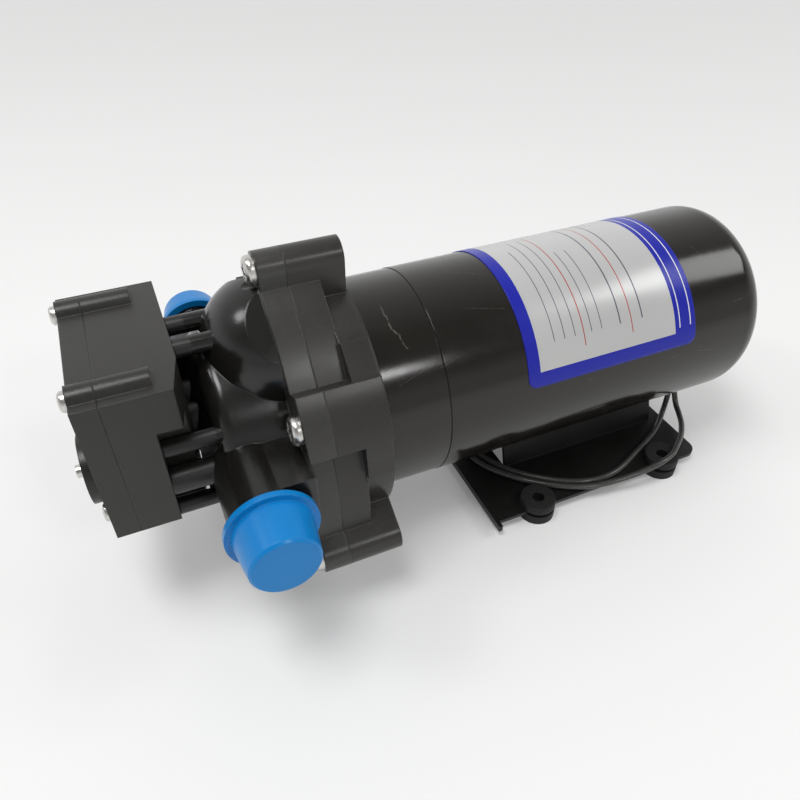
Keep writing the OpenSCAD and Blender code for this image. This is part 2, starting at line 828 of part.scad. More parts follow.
// A mushroom of rubber with its stem through the plate
module umbrella(r, stem_r, stem_len) {
    rotate_extrude() {
        square([stem_r, stem_len]);
        translate([0, stem_len]) square([stem_r + 0.6, 1.4]);
        difference() {
            translate([0, -1.2]) square([r, 1.2]);
            translate([r, -1.9]) rotate(8) square([4 * r, 2], center = true);
        }
    }
}

module inlet_valves() {
    web = plate_depth - chamber_deep;
    color(black_rubber) for (a = long_ears) spoke(a, chamber_at + 5, x_plate_front + web + seat_clear)
        rotate([180, 0, 0]) umbrella(4.6, 1.2, web + 2 * seat_clear);
}

module outlet_valve() {
    web = plate_depth - chamber_deep;
    color(black_rubber) along_axis(x_plate_front - seat_clear) umbrella(11.5, 1.6, web + 2 * seat_clear);
}

module valve_plate_seal() {
    color(black_rubber) along_axis(x_plate - plate_rim_t + seal_d / 2 + seat_clear)
        rotate_extrude() translate([seal_at, 0]) circle(seal_d / 2 - seat_clear);
}

// One ring-shaped groove of the thread on a port
module thread_groove() {
    wide = thread_half * (thread_deep + cut) / thread_deep;
    rotate_extrude() polygon([[port_r - thread_deep, 0], [port_r + cut, -wide], [port_r + cut, wide]]);
}

// Upper housing: flange, drum, three domes, two ports, two necks and the posts of the switch housing
module port_shape(side) {
    on_port(side, 0) {
        cylinder(r = boss_r, h = boss_reach);
        difference() {
            cylinder(r = port_r, h = port_reach - port_chamfer);
            for (k = [0 : thread_turns - 1])
                translate([0, 0, boss_reach + thread_pitch * (k + 0.75)]) thread_groove();
        }
        cylinder(r = port_r - port_chamfer, h = port_reach);
    }
    // Web from the boss back to the flange
    translate([port_x, side > 0 ? port_inner : -web_reach, port_z - web_h / 2])
        cube([x_flange - port_x + cut, web_reach - port_inner, web_h]);
}

module drum() {
    round = 5;
    along_axis(x_flange) mirror([0, 0, 1]) rotate_extrude() can_outline(drum_r, drum_len, round);
}

module domes() {
    for (k = [0 : 2]) spoke(long_ears[k], dome_at, x_dome) sphere(r = k == 0 ? dome_r : low_dome_r);
}

module upper_housing() {
    gallery_r = 24;
    gallery_w = 7;
    gallery_deep = 3;
    chamber = 13.5;
    outlet_r = 12.3;
    color(black_plastic) difference() {
        union() {
            radial_block(0, x_flange, upper_flange_t) {
                flange_outline(0);
                ear_outlines();
            }
            drum();
            intersection() {
                domes();
                radial_block(0, x_drum - 10, x_flange - x_drum + 11) flange_outline(0.6);
            }
            for (side = [-1, 1]) port_shape(side);
            for (p = posts) for (side = [-1, 1]) translate([x_drum - p[3], side * p[0], axis_h + p[1]])
                rotate([0, 90, 0]) cylinder(r = p[2], h = p[3] + 9);
            neck_places(x_drum - spigot_len) cylinder(r = spigot_r, h = spigot_len + cut);
            neck_places(x_box + seat_clear) cylinder(r = neck_r, h = neck_gap + cut);
            // Rib on each side that joins the three long posts
            for (side = [-1, 1]) translate([x_box + seat_clear, side * rib_y - rib_t / 2, axis_h + posts[3][1]])
                cube([neck_gap + rib_root, rib_t, posts[1][1] - posts[3][1]]);
        }
        neck_places(x_drum - spigot_len + neck_groove) ring(spigot_r + 1, spigot_r - 1.3, 1.6);
        along_axis(x_plate - plate_rim_t) cylinder(r = clamp_r, h = plate_rim_t + membrane_t + cut);
        for (a = long_ears) {
            spoke(a, chamber_at, x_plate_front - 0.3) cylinder(r = chamber_r + 0.3, h = plate_depth);
            intersection() {
                spoke(a, dome_at, x_dome) sphere(r = chamber);
                along_axis(x_drum) cylinder(r = dome_at + chamber, h = x_plate_front - x_drum);
            }
        }
        along_axis(x_plate_front - 0.3) cylinder(r = plate_hub_r + 0.3, h = plate_depth);
        along_axis(x_plate_front - 4) cylinder(r = outlet_r, h = 4);
        along_axis(x_plate_front - gallery_deep)
            ring(gallery_r + gallery_w / 2, gallery_r - gallery_w / 2, gallery_deep);
        along_axis(x_drum - spigot_len - cut) cylinder(r = valve_seat_r, h = 40);
        for (side = [-1, 1]) on_port(side, port_inner) cylinder(r = port_bore_r, h = port_reach);
        translate([port_x, -gallery_r, port_z]) rotate([0, 90, 0])
            cylinder(r = passage_r, h = x_plate_front - port_x);
        translate([x_drum - spigot_len - cut, return_y, axis_h]) rotate([0, 90, 0])
            cylinder(r = passage_r, h = port_x - x_drum + spigot_len + cut);
        head_screw_places(x_flange - cut)
            cylinder(r = head_screw_r + slip_clear, h = upper_flange_t + 2 * cut);
        head_screw_places(x_flange) mirror([0, 0, 1]) cylinder(r = spot_face_r, h = drum_len);
    }
}

module head_screws() {
    color(steel) head_screw_places(x_flange - seat_clear) rotate([180, 0, 0])
        pan_screw(screw_head_r, screw_head_h, head_screw_r,
            upper_flange_t + lower_len - ear_setback - head_screw_depth - 1);
}

// Blue push-on caps that keep the ports clean
module cap(side) {
    color(cap_blue) on_port(side, cap_y) rotate_extrude() difference() {
        union() {
            polygon([[0, 0], [cap_mouth_r, 0], [cap_end_r + 0.15, cap_len - 0.8],
                [cap_end_r - 0.6, cap_len], [0, cap_len]]);
            square([cap_rim_r, cap_rim_t]);
        }
        polygon([[0, -cut], [cap_mouth_r - cap_wall, -cut], [cap_mouth_r - cap_wall, 0],
            [cap_end_r - cap_wall, cap_len - cap_wall - 0.3], [0, cap_len - cap_wall - 0.3]]);
    }
}

module near_cap() {
    cap(-1);
}

module far_cap() {
    cap(1);
}

// Pressure switch housing
module box_outline(x0, x1) {
    translate([x0, -box_w / 2, box_bottom]) cube([x1 - x0, box_w, box_h]);
}

module cover_screw_places(x) {
    for (y = [-1, 1]) for (z = [box_top - box_boss_in, box_bottom + box_boss_low])
        translate([x, y * box_boss_y, z]) rotate([0, 90, 0]) children();
}

module switch_axis(x) {
    translate([x, switch_y, switch_z]) rotate([0, 90, 0]) children();
}

module micro_pocket(x, len, gap) {
    translate([x, switch_y - micro_w / 2 - gap, switch_z + arm_top - micro_h - gap])
        cube([len, micro_w + 2 * gap, micro_h + 2 * gap]);
}

module switch_body() {
    wet_r = switch_membrane_r - 2;
    wet_depth = 4;
    color(black_plastic) difference() {
        union() {
            box_outline(x_split, x_box);
            cover_screw_places(x_split) cylinder(r = box_boss_r, h = box_d - box_boss_stop);
        }
        // Chamfered near corner and the two notches that bare the long posts
        translate([0, 0, box_bottom - cut]) linear_extrude(box_h + 2 * cut) polygon([
            [x_box + cut, chamfer_y - box_w / 2], [x_box, chamfer_y - box_w / 2],
            [x_box - chamfer_x, -box_w / 2 - cut], [x_box + cut, -box_w / 2 - cut]]);
        for (side = [-1, 1]) {
            notch_y = side > 0 ? box_w / 2 - notch_in : -box_w / 2 - cut;
            translate([x_box - notch_len, notch_y, box_bottom - cut])
                cube([notch_len + cut, notch_in + cut, notch_top - box_bottom + cut]);
            for (p = [posts[1], posts[2], posts[3]])
                translate([x_box - notch_len, side * p[0], axis_h + p[1]]) rotate([0, 90, 0])
                    cylinder(r = p[2] + free_clear, h = notch_len + cut);
        }
        // Sockets for the two spigots, the check valve chamber and the way back to the outlet
        neck_places(x_drum - spigot_len) cylinder(r = spigot_r + slip_clear, h = spigot_len);
        along_axis(x_split + 4.5) cylinder(r = valve_bore_r, h = x_drum - spigot_len - x_split - 4.4);
        translate([x_split + 6, 0, axis_h]) rotate([-90, 0, 0]) cylinder(r = 3, h = return_y);
        translate([x_split + 3.5, return_y, axis_h]) rotate([0, 90, 0])
            cylinder(r = passage_r, h = x_drum - spigot_len - x_split);
        // Wet chamber behind the switch membrane, and its way to the outlet
        switch_axis(x_split - cut) cylinder(r = wet_r, h = wet_depth + cut);
        switch_axis(x_split - cut) cylinder(r = switch_membrane_r + seat_clear, h = switch_membrane_t + cut);
        translate([x_split + 2.8, switch_y, axis_h]) rotate([-90, 0, 0]) cylinder(r = 1.2, h = -switch_y);
        translate([x_split + 1.5, 0, axis_h]) rotate([0, 90, 0]) cylinder(r = 1.6, h = 5);
        micro_pocket(x_split - cut, micro_d + 1 + cut, slip_clear);
        cover_screw_places(x_split - cut)
            cylinder(r = cover_screw_r + seat_clear, h = cover_screw_in + 2 * cut);
    }
}

// O-rings in the grooves of the two spigots
module neck_places(x) {
    for (y = [0, return_y]) translate([x, y, axis_h]) rotate([0, 90, 0]) children();
}

module neck_seals() {
    color(black_rubber) neck_places(x_drum - spigot_len + neck_groove + 0.8)
        rotate_extrude() translate([spigot_r - 0.6, 0]) circle(0.66);
}

module switch_cover() {
    face = 1.5;
    inner = cover_t - face;
    color(black_plastic) difference() {
        union() {
            box_outline(x_front, x_split - seat_clear);
            cover_screw_places(x_front) cylinder(r = box_boss_r, h = cover_t - seat_clear);
            switch_axis(x_front - switch_disc_h) cylinder(r = switch_disc_r, h = switch_disc_h + cut);
        }
        switch_axis(x_front + face) cylinder(r = switch_membrane_r - 1.5, h = inner + cut);
        switch_axis(x_front - 1) cylinder(r = 4.6, h = face + 2);
        switch_axis(x_front - switch_disc_h - cut)
            cylinder(r = adjust_r + seat_clear, h = switch_disc_h + cut);
        translate([x_front + face, switch_y - arm_w / 2 - free_clear, switch_z])
            cube([inner + cut, arm_w + 2 * free_clear, arm_top + free_clear]);
        cover_screw_places(x_front - cut) cylinder(r = cover_screw_r + slip_clear, h = cover_t + 2 * cut);
    }
}

module cover_screws() {
    color(steel) cover_screw_places(x_front - seat_clear) rotate([180, 0, 0])
        pan_screw(2.9, 2, cover_screw_r, cover_t + cover_screw_in - cut);
}

module switch_diaphragm() {
    color(black_rubber) switch_axis(x_split) cylinder(r = switch_membrane_r, h = switch_membrane_t);
}

module switch_plunger() {
    x = x_split - plunger_t - 0.05;
    color(grey_plastic) {
        switch_axis(x) cylinder(r = plunger_r, h = plunger_t);
        translate([x, switch_y - arm_w / 2, switch_z]) cube([plunger_t, arm_w, arm_top - 1]);
        switch_axis(x - 1.2) cylinder(r = 2.4, h = 1.2 + cut);
    }
}

module switch_spring() {
    start = x_split - plunger_t - 0.05 - run_clear;
    color(steel) coil(switch_y, switch_z, start, start - (x_front - 1) - run_clear, 3.4, 0.4, 3);
}

module adjusting_screw() {
    color(steel) difference() {
        switch_axis(x_front - switch_disc_h - adjust_out)
            cylinder(r = adjust_r, h = switch_disc_h + adjust_out - 1);
        switch_axis(x_front - switch_disc_h - adjust_out - cut) cylinder(r = 1.1, h = 2 + cut, $fn = 6);
    }
}

module microswitch() {
    color(carbon) difference() {
        micro_pocket(x_split + 1, micro_d - slip_clear, 0);
        button_place(x_split) cylinder(r = button_r + slip_clear, h = 3);
    }
}

module button_place(x) {
    translate([x, switch_y, switch_z + arm_top - micro_h / 2]) rotate([0, 90, 0]) children();
}

module switch_button() {
    color(cap_blue) button_place(x_split + 0.05) cylinder(r = button_r, h = button_out + 1.4);
}

// Spring loaded check valve that closes on the end of the middle spigot
module check_valve() {
    x = x_drum - spigot_len - valve_lift;
    color(grey_plastic) {
        along_axis(x - valve_t) cylinder(r = valve_r, h = valve_t);
        along_axis(x - valve_t) cylinder(r = 1.4, h = 6);
        along_axis(x - valve_t - 1.5) cylinder(r = 2, h = 2);
    }
}

module check_valve_spring() {
    x = x_drum - spigot_len - valve_lift - valve_t - run_clear;
    color(steel) coil(0, axis_h, x, x - (x_split + 4.5) - run_clear, 3, 0.35, 2);
}

// Motor leads
module lead_exit(r) {
    translate([grommet_x, 0, axis_h]) rotate([grommet_angle, 0, 0])
        translate([0, r, 0]) rotate([-90, 0, 0]) children();
}

// Rubber grommet with one hole for each lead
module lead_grommet() {
    inner = motor_r - can_wall - grommet_sag;
    groove = can_wall + grommet_sag + seat_clear;
    color(black_rubber) lead_exit(inner - grommet_lip) difference() {
        rotate_extrude() difference() {
            square([grommet_r, groove + 2 * grommet_lip]);
            translate([grommet_r - 1, grommet_lip]) square([2, groove]);
        }
        for (s = [-1, 1]) translate([0, s * lead_pitch, -cut])
            cylinder(r = tip_r, h = groove + 3 * grommet_lip);
    }
}

module inner_lead() {
    color(black_rubber) tube(smooth(inner_route, lead_steps), lead_r, lead_sides, [0, 0, 1]);
}

module outer_lead() {
    color(black_rubber) tube(smooth(outer_route, lead_steps), lead_r, lead_sides, [0, 0, 1]);
}

echo(inner_lead_length = path_length(smooth(inner_route, lead_steps)));
echo(outer_lead_length = path_length(smooth(outer_route, lead_steps)));

// Stripped and tinned ends of the two leads
module lead_ends() {
    color(copper) for (route = [inner_route, outer_route]) {
        end = route[len(route) - 1];
        way = unit(end - route[len(route) - 2]);
        tube([end + 0.02 * way, end + tip_len / 2 * way, end + tip_len * way], tip_r, lead_sides, [0, 0, 1]);
    }
}

base_plate();
rubber_feet();
saddle_screws();
motor_can();
front_bell();
motor_label();
magnets();
motor_shaft();
armature_core();
armature_windings();
commutator();
front_bush();
rear_bush();
brush_plate();
brushes();
brush_springs();
lower_housing();
motor_screws();
cam();
cam_set_screw();
cam_bearing_inner();
cam_bearing_balls();
cam_bearing_outer();
wobble_plate();
piston_discs();
piston_screws();
diaphragm();
valve_plate();
inlet_valves();
outlet_valve();
valve_plate_seal();
upper_housing();
head_screws();
near_cap();
far_cap();
switch_body();
neck_seals();
switch_cover();
cover_screws();
switch_diaphragm();
switch_plunger();
switch_spring();
adjusting_screw();
microswitch();
switch_button();
check_valve();
check_valve_spring();
lead_grommet();
inner_lead();
outer_lead();
lead_ends();
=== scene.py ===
import math
import bmesh
import bpy
import numpy as np
from mathutils import Matrix, Vector


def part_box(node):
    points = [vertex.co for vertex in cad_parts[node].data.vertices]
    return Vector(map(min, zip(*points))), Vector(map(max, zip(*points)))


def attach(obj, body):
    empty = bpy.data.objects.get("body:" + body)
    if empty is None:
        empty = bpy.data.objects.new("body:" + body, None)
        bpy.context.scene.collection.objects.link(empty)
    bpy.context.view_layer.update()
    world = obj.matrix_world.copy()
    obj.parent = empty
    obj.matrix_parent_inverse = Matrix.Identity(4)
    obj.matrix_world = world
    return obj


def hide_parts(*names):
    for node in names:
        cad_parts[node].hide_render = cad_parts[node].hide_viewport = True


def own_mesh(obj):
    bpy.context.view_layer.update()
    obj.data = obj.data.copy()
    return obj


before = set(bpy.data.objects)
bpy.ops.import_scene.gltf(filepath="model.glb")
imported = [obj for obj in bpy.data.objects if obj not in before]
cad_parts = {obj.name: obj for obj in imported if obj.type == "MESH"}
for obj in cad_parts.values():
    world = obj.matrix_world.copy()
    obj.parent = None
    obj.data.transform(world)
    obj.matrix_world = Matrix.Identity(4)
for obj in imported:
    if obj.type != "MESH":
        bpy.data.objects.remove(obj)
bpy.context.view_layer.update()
scene = bpy.context.scene
scene.view_settings.view_transform = "Standard"
print("frame loaded with", len(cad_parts), "nodes")

# camera fitted to the picture: three axes of the view and the lens
cameraFit = {
    "place": (-0.1477, -0.1786, 0.2049),
    "right": (0.9163, -0.4005, 0.0021),
    "up": (0.2574, 0.5929, 0.7630),
    "back": (-0.3069, -0.6986, 0.6464),
    "lens": 31.34,
    "sensor": 36.0,
    "clip": (0.01, 60.0),
}


def makeCamera(fit):
    data = bpy.data.cameras.new("viewCamera")
    data.lens = fit["lens"]
    data.sensor_width = fit["sensor"]
    data.clip_start, data.clip_end = fit["clip"]
    camera = bpy.data.objects.new("viewCamera", data)
    turn = Matrix((fit["right"], fit["up"], fit["back"])).transposed().to_4x4()
    camera.matrix_world = Matrix.Translation(fit["place"]) @ turn
    scene.collection.objects.link(camera)
    scene.camera = camera


makeCamera(cameraFit)
print("camera placed")

mergeGap = 1e-7  # metres, points closer than this become one


# a grid of points (rows, columns, 3) becomes one closed skin: columns wrap round,
# the first and last rows close to their middle, and faces are turned to point outwards
def skinFromGrid(name, grid, uvAlong=None, uvRound=None):
    rows, cols = grid.shape[:2]
    first = grid[0].mean(axis=0)
    last = grid[-1].mean(axis=0)
    points = np.concatenate([grid.reshape(-1, 3), first[None], last[None]])
    r, c = np.meshgrid(np.arange(rows - 1), np.arange(cols), indexing="ij")
    nextC = (c + 1) % cols
    corners = [r * cols + c, r * cols + nextC, (r + 1) * cols + nextC, (r + 1) * cols + c]
    quads = np.stack(corners, axis=-1).reshape(-1, 4)
    ring = np.arange(cols)
    low = np.stack([np.full(cols, rows * cols), (ring + 1) % cols, ring], axis=1)
    base = (rows - 1) * cols
    high = np.stack([np.full(cols, rows * cols + 1), base + ring, base + (ring + 1) % cols], axis=1)
    along = np.linspace(0, 1, rows) if uvAlong is None else np.asarray(uvAlong)
    around = np.linspace(0, 1, cols + 1) if uvRound is None else np.asarray(uvRound)

    def mapped(row, col):
        return np.stack([along[row], around[col]], axis=-1)

    quadUv = np.stack([mapped(r, c), mapped(r, c + 1), mapped(r + 1, c + 1), mapped(r + 1, c)], axis=2)
    quadUv = quadUv.reshape(-1, 4, 2)
    start = np.zeros(cols, dtype=int)
    end = np.full(cols, rows - 1)
    lowUv = np.stack([mapped(start, ring), mapped(start, ring + 1), mapped(start, ring)], axis=1)
    highUv = np.stack([mapped(end, ring), mapped(end, ring), mapped(end, ring + 1)], axis=1)
    flat = np.concatenate([quads[:, [0, 1, 2]], quads[:, [0, 2, 3]], low, high])
    a, b, d = points[flat[:, 0]], points[flat[:, 1]], points[flat[:, 2]]
    outward = np.einsum("ij,ij->i", a, np.cross(b, d)).sum() > 0
    if not outward:  # a negative volume means the skin is inside out
        quads, low, high = quads[:, ::-1], low[:, ::-1], high[:, ::-1]
        quadUv, lowUv, highUv = quadUv[:, ::-1], lowUv[:, ::-1], highUv[:, ::-1]
    mesh = bpy.data.meshes.new(name)
    mesh.from_pydata(points.tolist(), [], quads.tolist() + low.tolist() + high.tolist())
    uv = mesh.uv_layers.new(name="surfaceMap")
    uv.data.foreach_set("uv", np.concatenate([quadUv.reshape(-1), lowUv.reshape(-1), highUv.reshape(-1)]))
    work = bmesh.new()
    work.from_mesh(mesh)
    bmesh.ops.remove_doubles(work, verts=work.verts, dist=mergeGap)
    work.to_mesh(mesh)
    work.free()
    mesh.polygons.foreach_set("use_smooth", np.ones(len(mesh.polygons), dtype=bool))
    piece = bpy.data.objects.new(name, mesh)
    scene.collection.objects.link(piece)
    return piece


# the smooth line through route points: a cubic between each two that heads along its neighbours
def smoothRoute(points, steps):
    p = np.asarray(points, dtype=float)
    padded = np.concatenate([p[:1], p, p[-1:]])
    a, b, c, d = (padded[i:len(p) - 1 + i][:, None, :] for i in range(4))
    t = (np.arange(steps) / steps)[None, :, None]
    line = 0.5 * (2 * b + (c - a) * t + (2 * a - 5 * b + 4 * c - d) * t ** 2 + (3 * b - a - 3 * c + d) * t ** 3)
    return np.concatenate([line.reshape(-1, 3), p[-1:]])


# a round profile carried along a line: centre + radius x (cos u x side + sin u x rise)
def carryRound(line, radius, sides, side=None):
    heading = np.gradient(line, axis=0)
    heading /= np.linalg.norm(heading, axis=1, keepdims=True)
    if side is None:
        side = np.cross(np.array([0.0, 0.0, 1.0]), heading)
        side /= np.linalg.norm(side, axis=1, keepdims=True)
    rise = np.cross(heading, side)
    u = np.linspace(0, 2 * np.pi, sides, endpoint=False)[None, :, None]
    return line[:, None, :] + radius * (np.cos(u) * side[:, None, :] + np.sin(u) * rise[:, None, :])


# two limp leads that leave the grommet at the rear of the can and lie along the base, in millimetres
leadFit = {
    "diameter": 2.3,
    "grommet": (52.0, 0.0, 53.0),
    "exitAngle": 250.0,
    "exitRadius": 38.03,
    "leave": (0.1, 3.4),  # straight stretch out of the grommet
    "pitch": 1.8,
    "steps": 8,
    "sides": 20,
    "inner": [(50.6, -14, 9.6), (47.4, -16.6, 7.4), (42.6, -20.4, 6.4), (36, -25, 6.3), (28, -29, 6.3),
              (20, -32.6, 6.3), (11.6, -36.2, 6.3), (3, -38.2, 6.3), (-6, -37.4, 6.3), (-14, -34.2, 6.3),
              (-21.2, -29.4, 6.3), (-27.6, -23.8, 6.3), (-33, -17.4, 6.3), (-37, -10, 6.3), (-38.6, -2, 6.3),
              (-38, 6.4, 6.3), (-35, 14, 6.3), (-29, 20, 6.3), (-20, 23, 6.3), (-10, 24.6, 6.3),
              (0, 25.2, 6.3), (10, 25.4, 6.3), (20, 25.2, 6.3), (28, 24.6, 6.3), (36, 23.6, 6.3)],
    "outer": [(51.4, -18.8, 11.2), (50, -22.8, 9.8), (47, -28, 9.5), (42.6, -33, 9.5), (37, -37.4, 9.5),
              (30, -41.6, 9.5), (22, -43.2, 9.2), (13, -43, 7.8), (4, -41.8, 6.4), (-5, -40.6, 6.3),
              (-13, -37.8, 6.3), (-20, -33.8, 6.3), (-27, -28.4, 6.3), (-33.2, -22, 6.3), (-38.4, -14.8, 6.3),
              (-41.2, -7, 6.3), (-41.8, 2, 6.3), (-40.4, 11, 6.3), (-36, 19, 6.3), (-28.4, 24.4, 6.3),
              (-18, 26.8, 6.3), (-7, 28, 6.3), (3, 28.4, 6.3), (13, 28.4, 6.3), (22, 28, 6.3)],
}
strandFit = {"start": 0.02, "reach": 7.0, "bundle": 0.48, "wire": 0.25, "count": 6, "turns": 1.3,
             "rows": 28, "sides": 8}


# route of one lead from the face of the grommet, in metres
def leadRoute(fit, name, side):
    angle = math.radians(fit["exitAngle"])
    way = np.array([0.0, math.cos(angle), math.sin(angle)])
    across = np.array([0.0, -math.sin(angle), math.cos(angle)])
    face = np.array(fit["grommet"]) + fit["exitRadius"] * way + side * fit["pitch"] * across
    straight = [face + out * way for out in fit["leave"]]
    return np.concatenate([straight, np.array(fit[name], dtype=float)]) / 1000


# bare strands: one straight wire with others wound round it, each centre at bundle x (cos, sin) of a
# turning angle, all carried from the cut end of the sheath
def makeStrands(name, route, fit):
    way = route[-1] - route[-2]
    way /= np.linalg.norm(way)
    side = np.cross(np.array([0.0, 0.0, 1.0]), way)
    rise = np.cross(way, side)
    along = np.linspace(fit["start"], fit["reach"], fit["rows"]) / 1000
    parts = []
    for k in range(fit["count"] + 1):
        off = 0.0 if k == fit["count"] else fit["bundle"] / 1000
        a = 2 * np.pi * (k / fit["count"] + fit["turns"] * along / along[-1])
        wound = off * (np.cos(a)[:, None] * side + np.sin(a)[:, None] * rise)
        line = route[-1] + along[:, None] * way + wound
        parts.append(skinFromGrid(name + str(k), carryRound(line, fit["wire"] / 1000, fit["sides"])))
    work = bmesh.new()
    for part in parts:
        work.from_mesh(part.data)
    mesh = bpy.data.meshes.new(name)
    work.to_mesh(mesh)
    work.free()
    for part in parts:
        old = part.data
        bpy.data.objects.remove(part)
        bpy.data.meshes.remove(old)
    piece = bpy.data.objects.new(name, mesh)
    scene.collection.objects.link(piece)
    return piece


def makeLead(name, node, routeName, side, fit, strands):
    route = leadRoute(fit, routeName, side)
    line = smoothRoute(route, fit["steps"])
    far = np.concatenate([[0], np.cumsum(np.linalg.norm(np.diff(line, axis=0), axis=1))])
    lead = skinFromGrid(name, carryRound(line, fit["diameter"] / 2000, fit["sides"]), uvAlong=far * 1000)
    tips = makeStrands(name + "Strands", route, strands)
    for piece in (lead, tips):
        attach(piece, "pump")
    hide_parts(node)
    return lead, tips


innerLead, innerTips = makeLead("innerLead", "inner_lead", "inner", 1, leadFit, strandFit)
outerLead, outerTips = makeLead("outerLead", "outer_lead", "outer", -1, leadFit, strandFit)
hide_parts("lead_ends")
print("leads laid")

# wrapped foil label, in millimetres and degrees; the print is drawn by its material from the surface map
labelFit = {"start": -39.0, "length": 68.0, "lowEdge": 167.0, "wrap": 132.0, "inside": 36.53, "thick": 0.25,
            "corner": 3.2, "rows": 69, "edgeRows": (0.05, 0.2, 0.5), "columns": 100, "axis": 53.0}


# a strip bent round the can: angle across, length along, its half width drawn in near both ends by
# corner - sqrt(corner2 - depth2), outer face out and inner face back so that the section closes on itself
def makeLabel(fit):
    half = fit["length"] / 2
    extra = np.array(fit["edgeRows"])  # rows close to both ends, for the round corners
    s = np.sort(np.concatenate([np.linspace(-1, 1, fit["rows"]) * half, extra - half, half - extra]))
    depth = np.clip(np.abs(s) - (half - fit["corner"]), 0, fit["corner"])
    shrink = fit["corner"] - np.sqrt(np.maximum(fit["corner"] ** 2 - depth ** 2, 0))
    radius = fit["inside"] + fit["thick"]
    halfWrap = math.radians(fit["wrap"]) / 2 * radius - shrink
    t = np.linspace(-1, 1, fit["columns"])
    loop = np.concatenate([t, t[::-1]])
    level = np.concatenate([np.full(len(t), radius), np.full(len(t), fit["inside"])])
    middle = math.radians(fit["lowEdge"] - fit["wrap"] / 2)
    angle = middle - loop[None, :] * halfWrap[:, None] / radius
    lift = np.ones((len(s), 1))
    lift[[0, -1]] = 0.5  # both end rows are half as thick
    rad = fit["inside"] + (level[None, :] - fit["inside"]) * lift
    x = fit["start"] + half + np.broadcast_to(s[:, None], angle.shape)
    grid = np.stack([x, rad * np.cos(angle), fit["axis"] + rad * np.sin(angle)], axis=-1) / 1000
    width = math.radians(fit["wrap"]) * radius
    across = np.concatenate([t, t[::-1], t[:1]]) * width / 2 + width / 2
    return grid, s + half, across


labelGrid, labelAlong, labelAcross = makeLabel(labelFit)
motorLabel = skinFromGrid("motorLabel", labelGrid, uvAlong=labelAlong, uvRound=labelAcross)
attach(motorLabel, "pump")
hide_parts("motor_label")
print("label wrapped")

# two coil springs inside the switch, wound over the box of their node, in metres
switchSpringFit = {"node": "switch_spring", "joint": "plunger_travel", "travel": 0.001, "wire": 0.0004,
                   "turns": 3, "rows": 28, "sides": 10}
valveSpringFit = {"node": "check_valve_spring", "joint": "check_valve_lift", "travel": 0.002, "wire": 0.00035,
                  "turns": 2, "rows": 28, "sides": 10}


# a helix along the box of the node: the place along it grows with the angle, coil x (cos, sin) across it
def makeSpring(name, fit):
    low, high = (np.array(corner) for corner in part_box(fit["node"]))
    wire = fit["wire"]
    coil = (high[1] - low[1]) / 2 - wire
    t = np.linspace(0, 1, fit["rows"] * fit["turns"] + 1)
    a = 2 * np.pi * fit["turns"] * t
    along = high[0] - wire - (high[0] - low[0] - 2 * wire) * t
    outward = np.stack([np.zeros_like(a), np.cos(a), np.sin(a)], axis=1)
    middle = (low + high) / 2
    line = np.stack([along, np.full_like(a, middle[1]), np.full_like(a, middle[2])], axis=1) + coil * outward
    spring = skinFromGrid(name, carryRound(line, wire, fit["sides"], outward))
    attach(spring, "pump")
    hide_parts(fit["node"])
    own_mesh(spring)
    return spring


springs = [makeSpring("switchSpring", switchSpringFit), makeSpring("valveSpring", valveSpringFit)]
print("springs wound")


# small helpers for shader trees: a socket takes a link or a fixed value
def feed(tree, socket, value):
    if isinstance(value, bpy.types.NodeSocket):
        tree.links.new(value, socket)
    elif value is not None:
        socket.default_value = value


def addMath(tree, operation, a, b=0.5, clamp=False):
    node = tree.nodes.new("ShaderNodeMath")
    node.operation = operation
    node.use_clamp = clamp
    feed(tree, node.inputs[0], a)
    feed(tree, node.inputs[1], b)
    return node.outputs[0]


def addProduct(tree, first, *others):
    for other in others:
        first = addMath(tree, "MULTIPLY", first, other)
    return first


# where a value lies between two others
def addBetween(tree, value, low, high):
    return addProduct(tree, addMath(tree, "GREATER_THAN", value, low), addMath(tree, "LESS_THAN", value, high))


def addVector(tree, operation, a, b=None):
    node = tree.nodes.new("ShaderNodeVectorMath")
    node.operation = operation
    feed(tree, node.inputs[0], a)
    feed(tree, node.inputs[1], b)
    return node.outputs["Value" if operation in ("DOT_PRODUCT", "LENGTH") else "Vector"]


def addSplit(tree, vector):
    node = tree.nodes.new("ShaderNodeSeparateXYZ")
    feed(tree, node.inputs[0], vector)
    return node.outputs


def addRange(tree, value, fromLow, fromHigh, toLow, toHigh):
    node = tree.nodes.new("ShaderNodeMapRange")
    feed(tree, node.inputs["Value"], value)
    for name, number in zip(("From Min", "From Max", "To Min", "To Max"), (fromLow, fromHigh, toLow, toHigh)):
        feed(tree, node.inputs[name], number)
    return node.outputs["Result"]


def addMix(tree, amount, a, b):
    node = tree.nodes.new("ShaderNodeMix")
    node.data_type = "RGBA"
    feed(tree, node.inputs[0], amount)
    for index, tone in ((6, a), (7, b)):  # the colour sockets of the node
        feed(tree, node.inputs[index], tone if isinstance(tone, bpy.types.NodeSocket) else (*tone, 1.0))
    return node.outputs[2]


def addNoise(tree, coords, scale, detail=3.0, rough=0.55):
    node = tree.nodes.new("ShaderNodeTexNoise")
    for name, value in (("Vector", coords), ("Scale", scale), ("Detail", detail), ("Roughness", rough)):
        feed(tree, node.inputs[name], value)
    return node.outputs["Fac"]


def addCells(tree, coords, scale, feature="F1"):
    node = tree.nodes.new("ShaderNodeTexVoronoi")
    node.feature = feature
    feed(tree, node.inputs["Vector"], coords)
    feed(tree, node.inputs["Scale"], scale)
    return node.outputs


def addBump(tree, height, strength, depth, normal=None):
    node = tree.nodes.new("ShaderNodeBump")
    for name, value in (("Strength", strength), ("Distance", depth), ("Height", height), ("Normal", normal)):
        feed(tree, node.inputs[name], value)
    return node.outputs["Normal"]


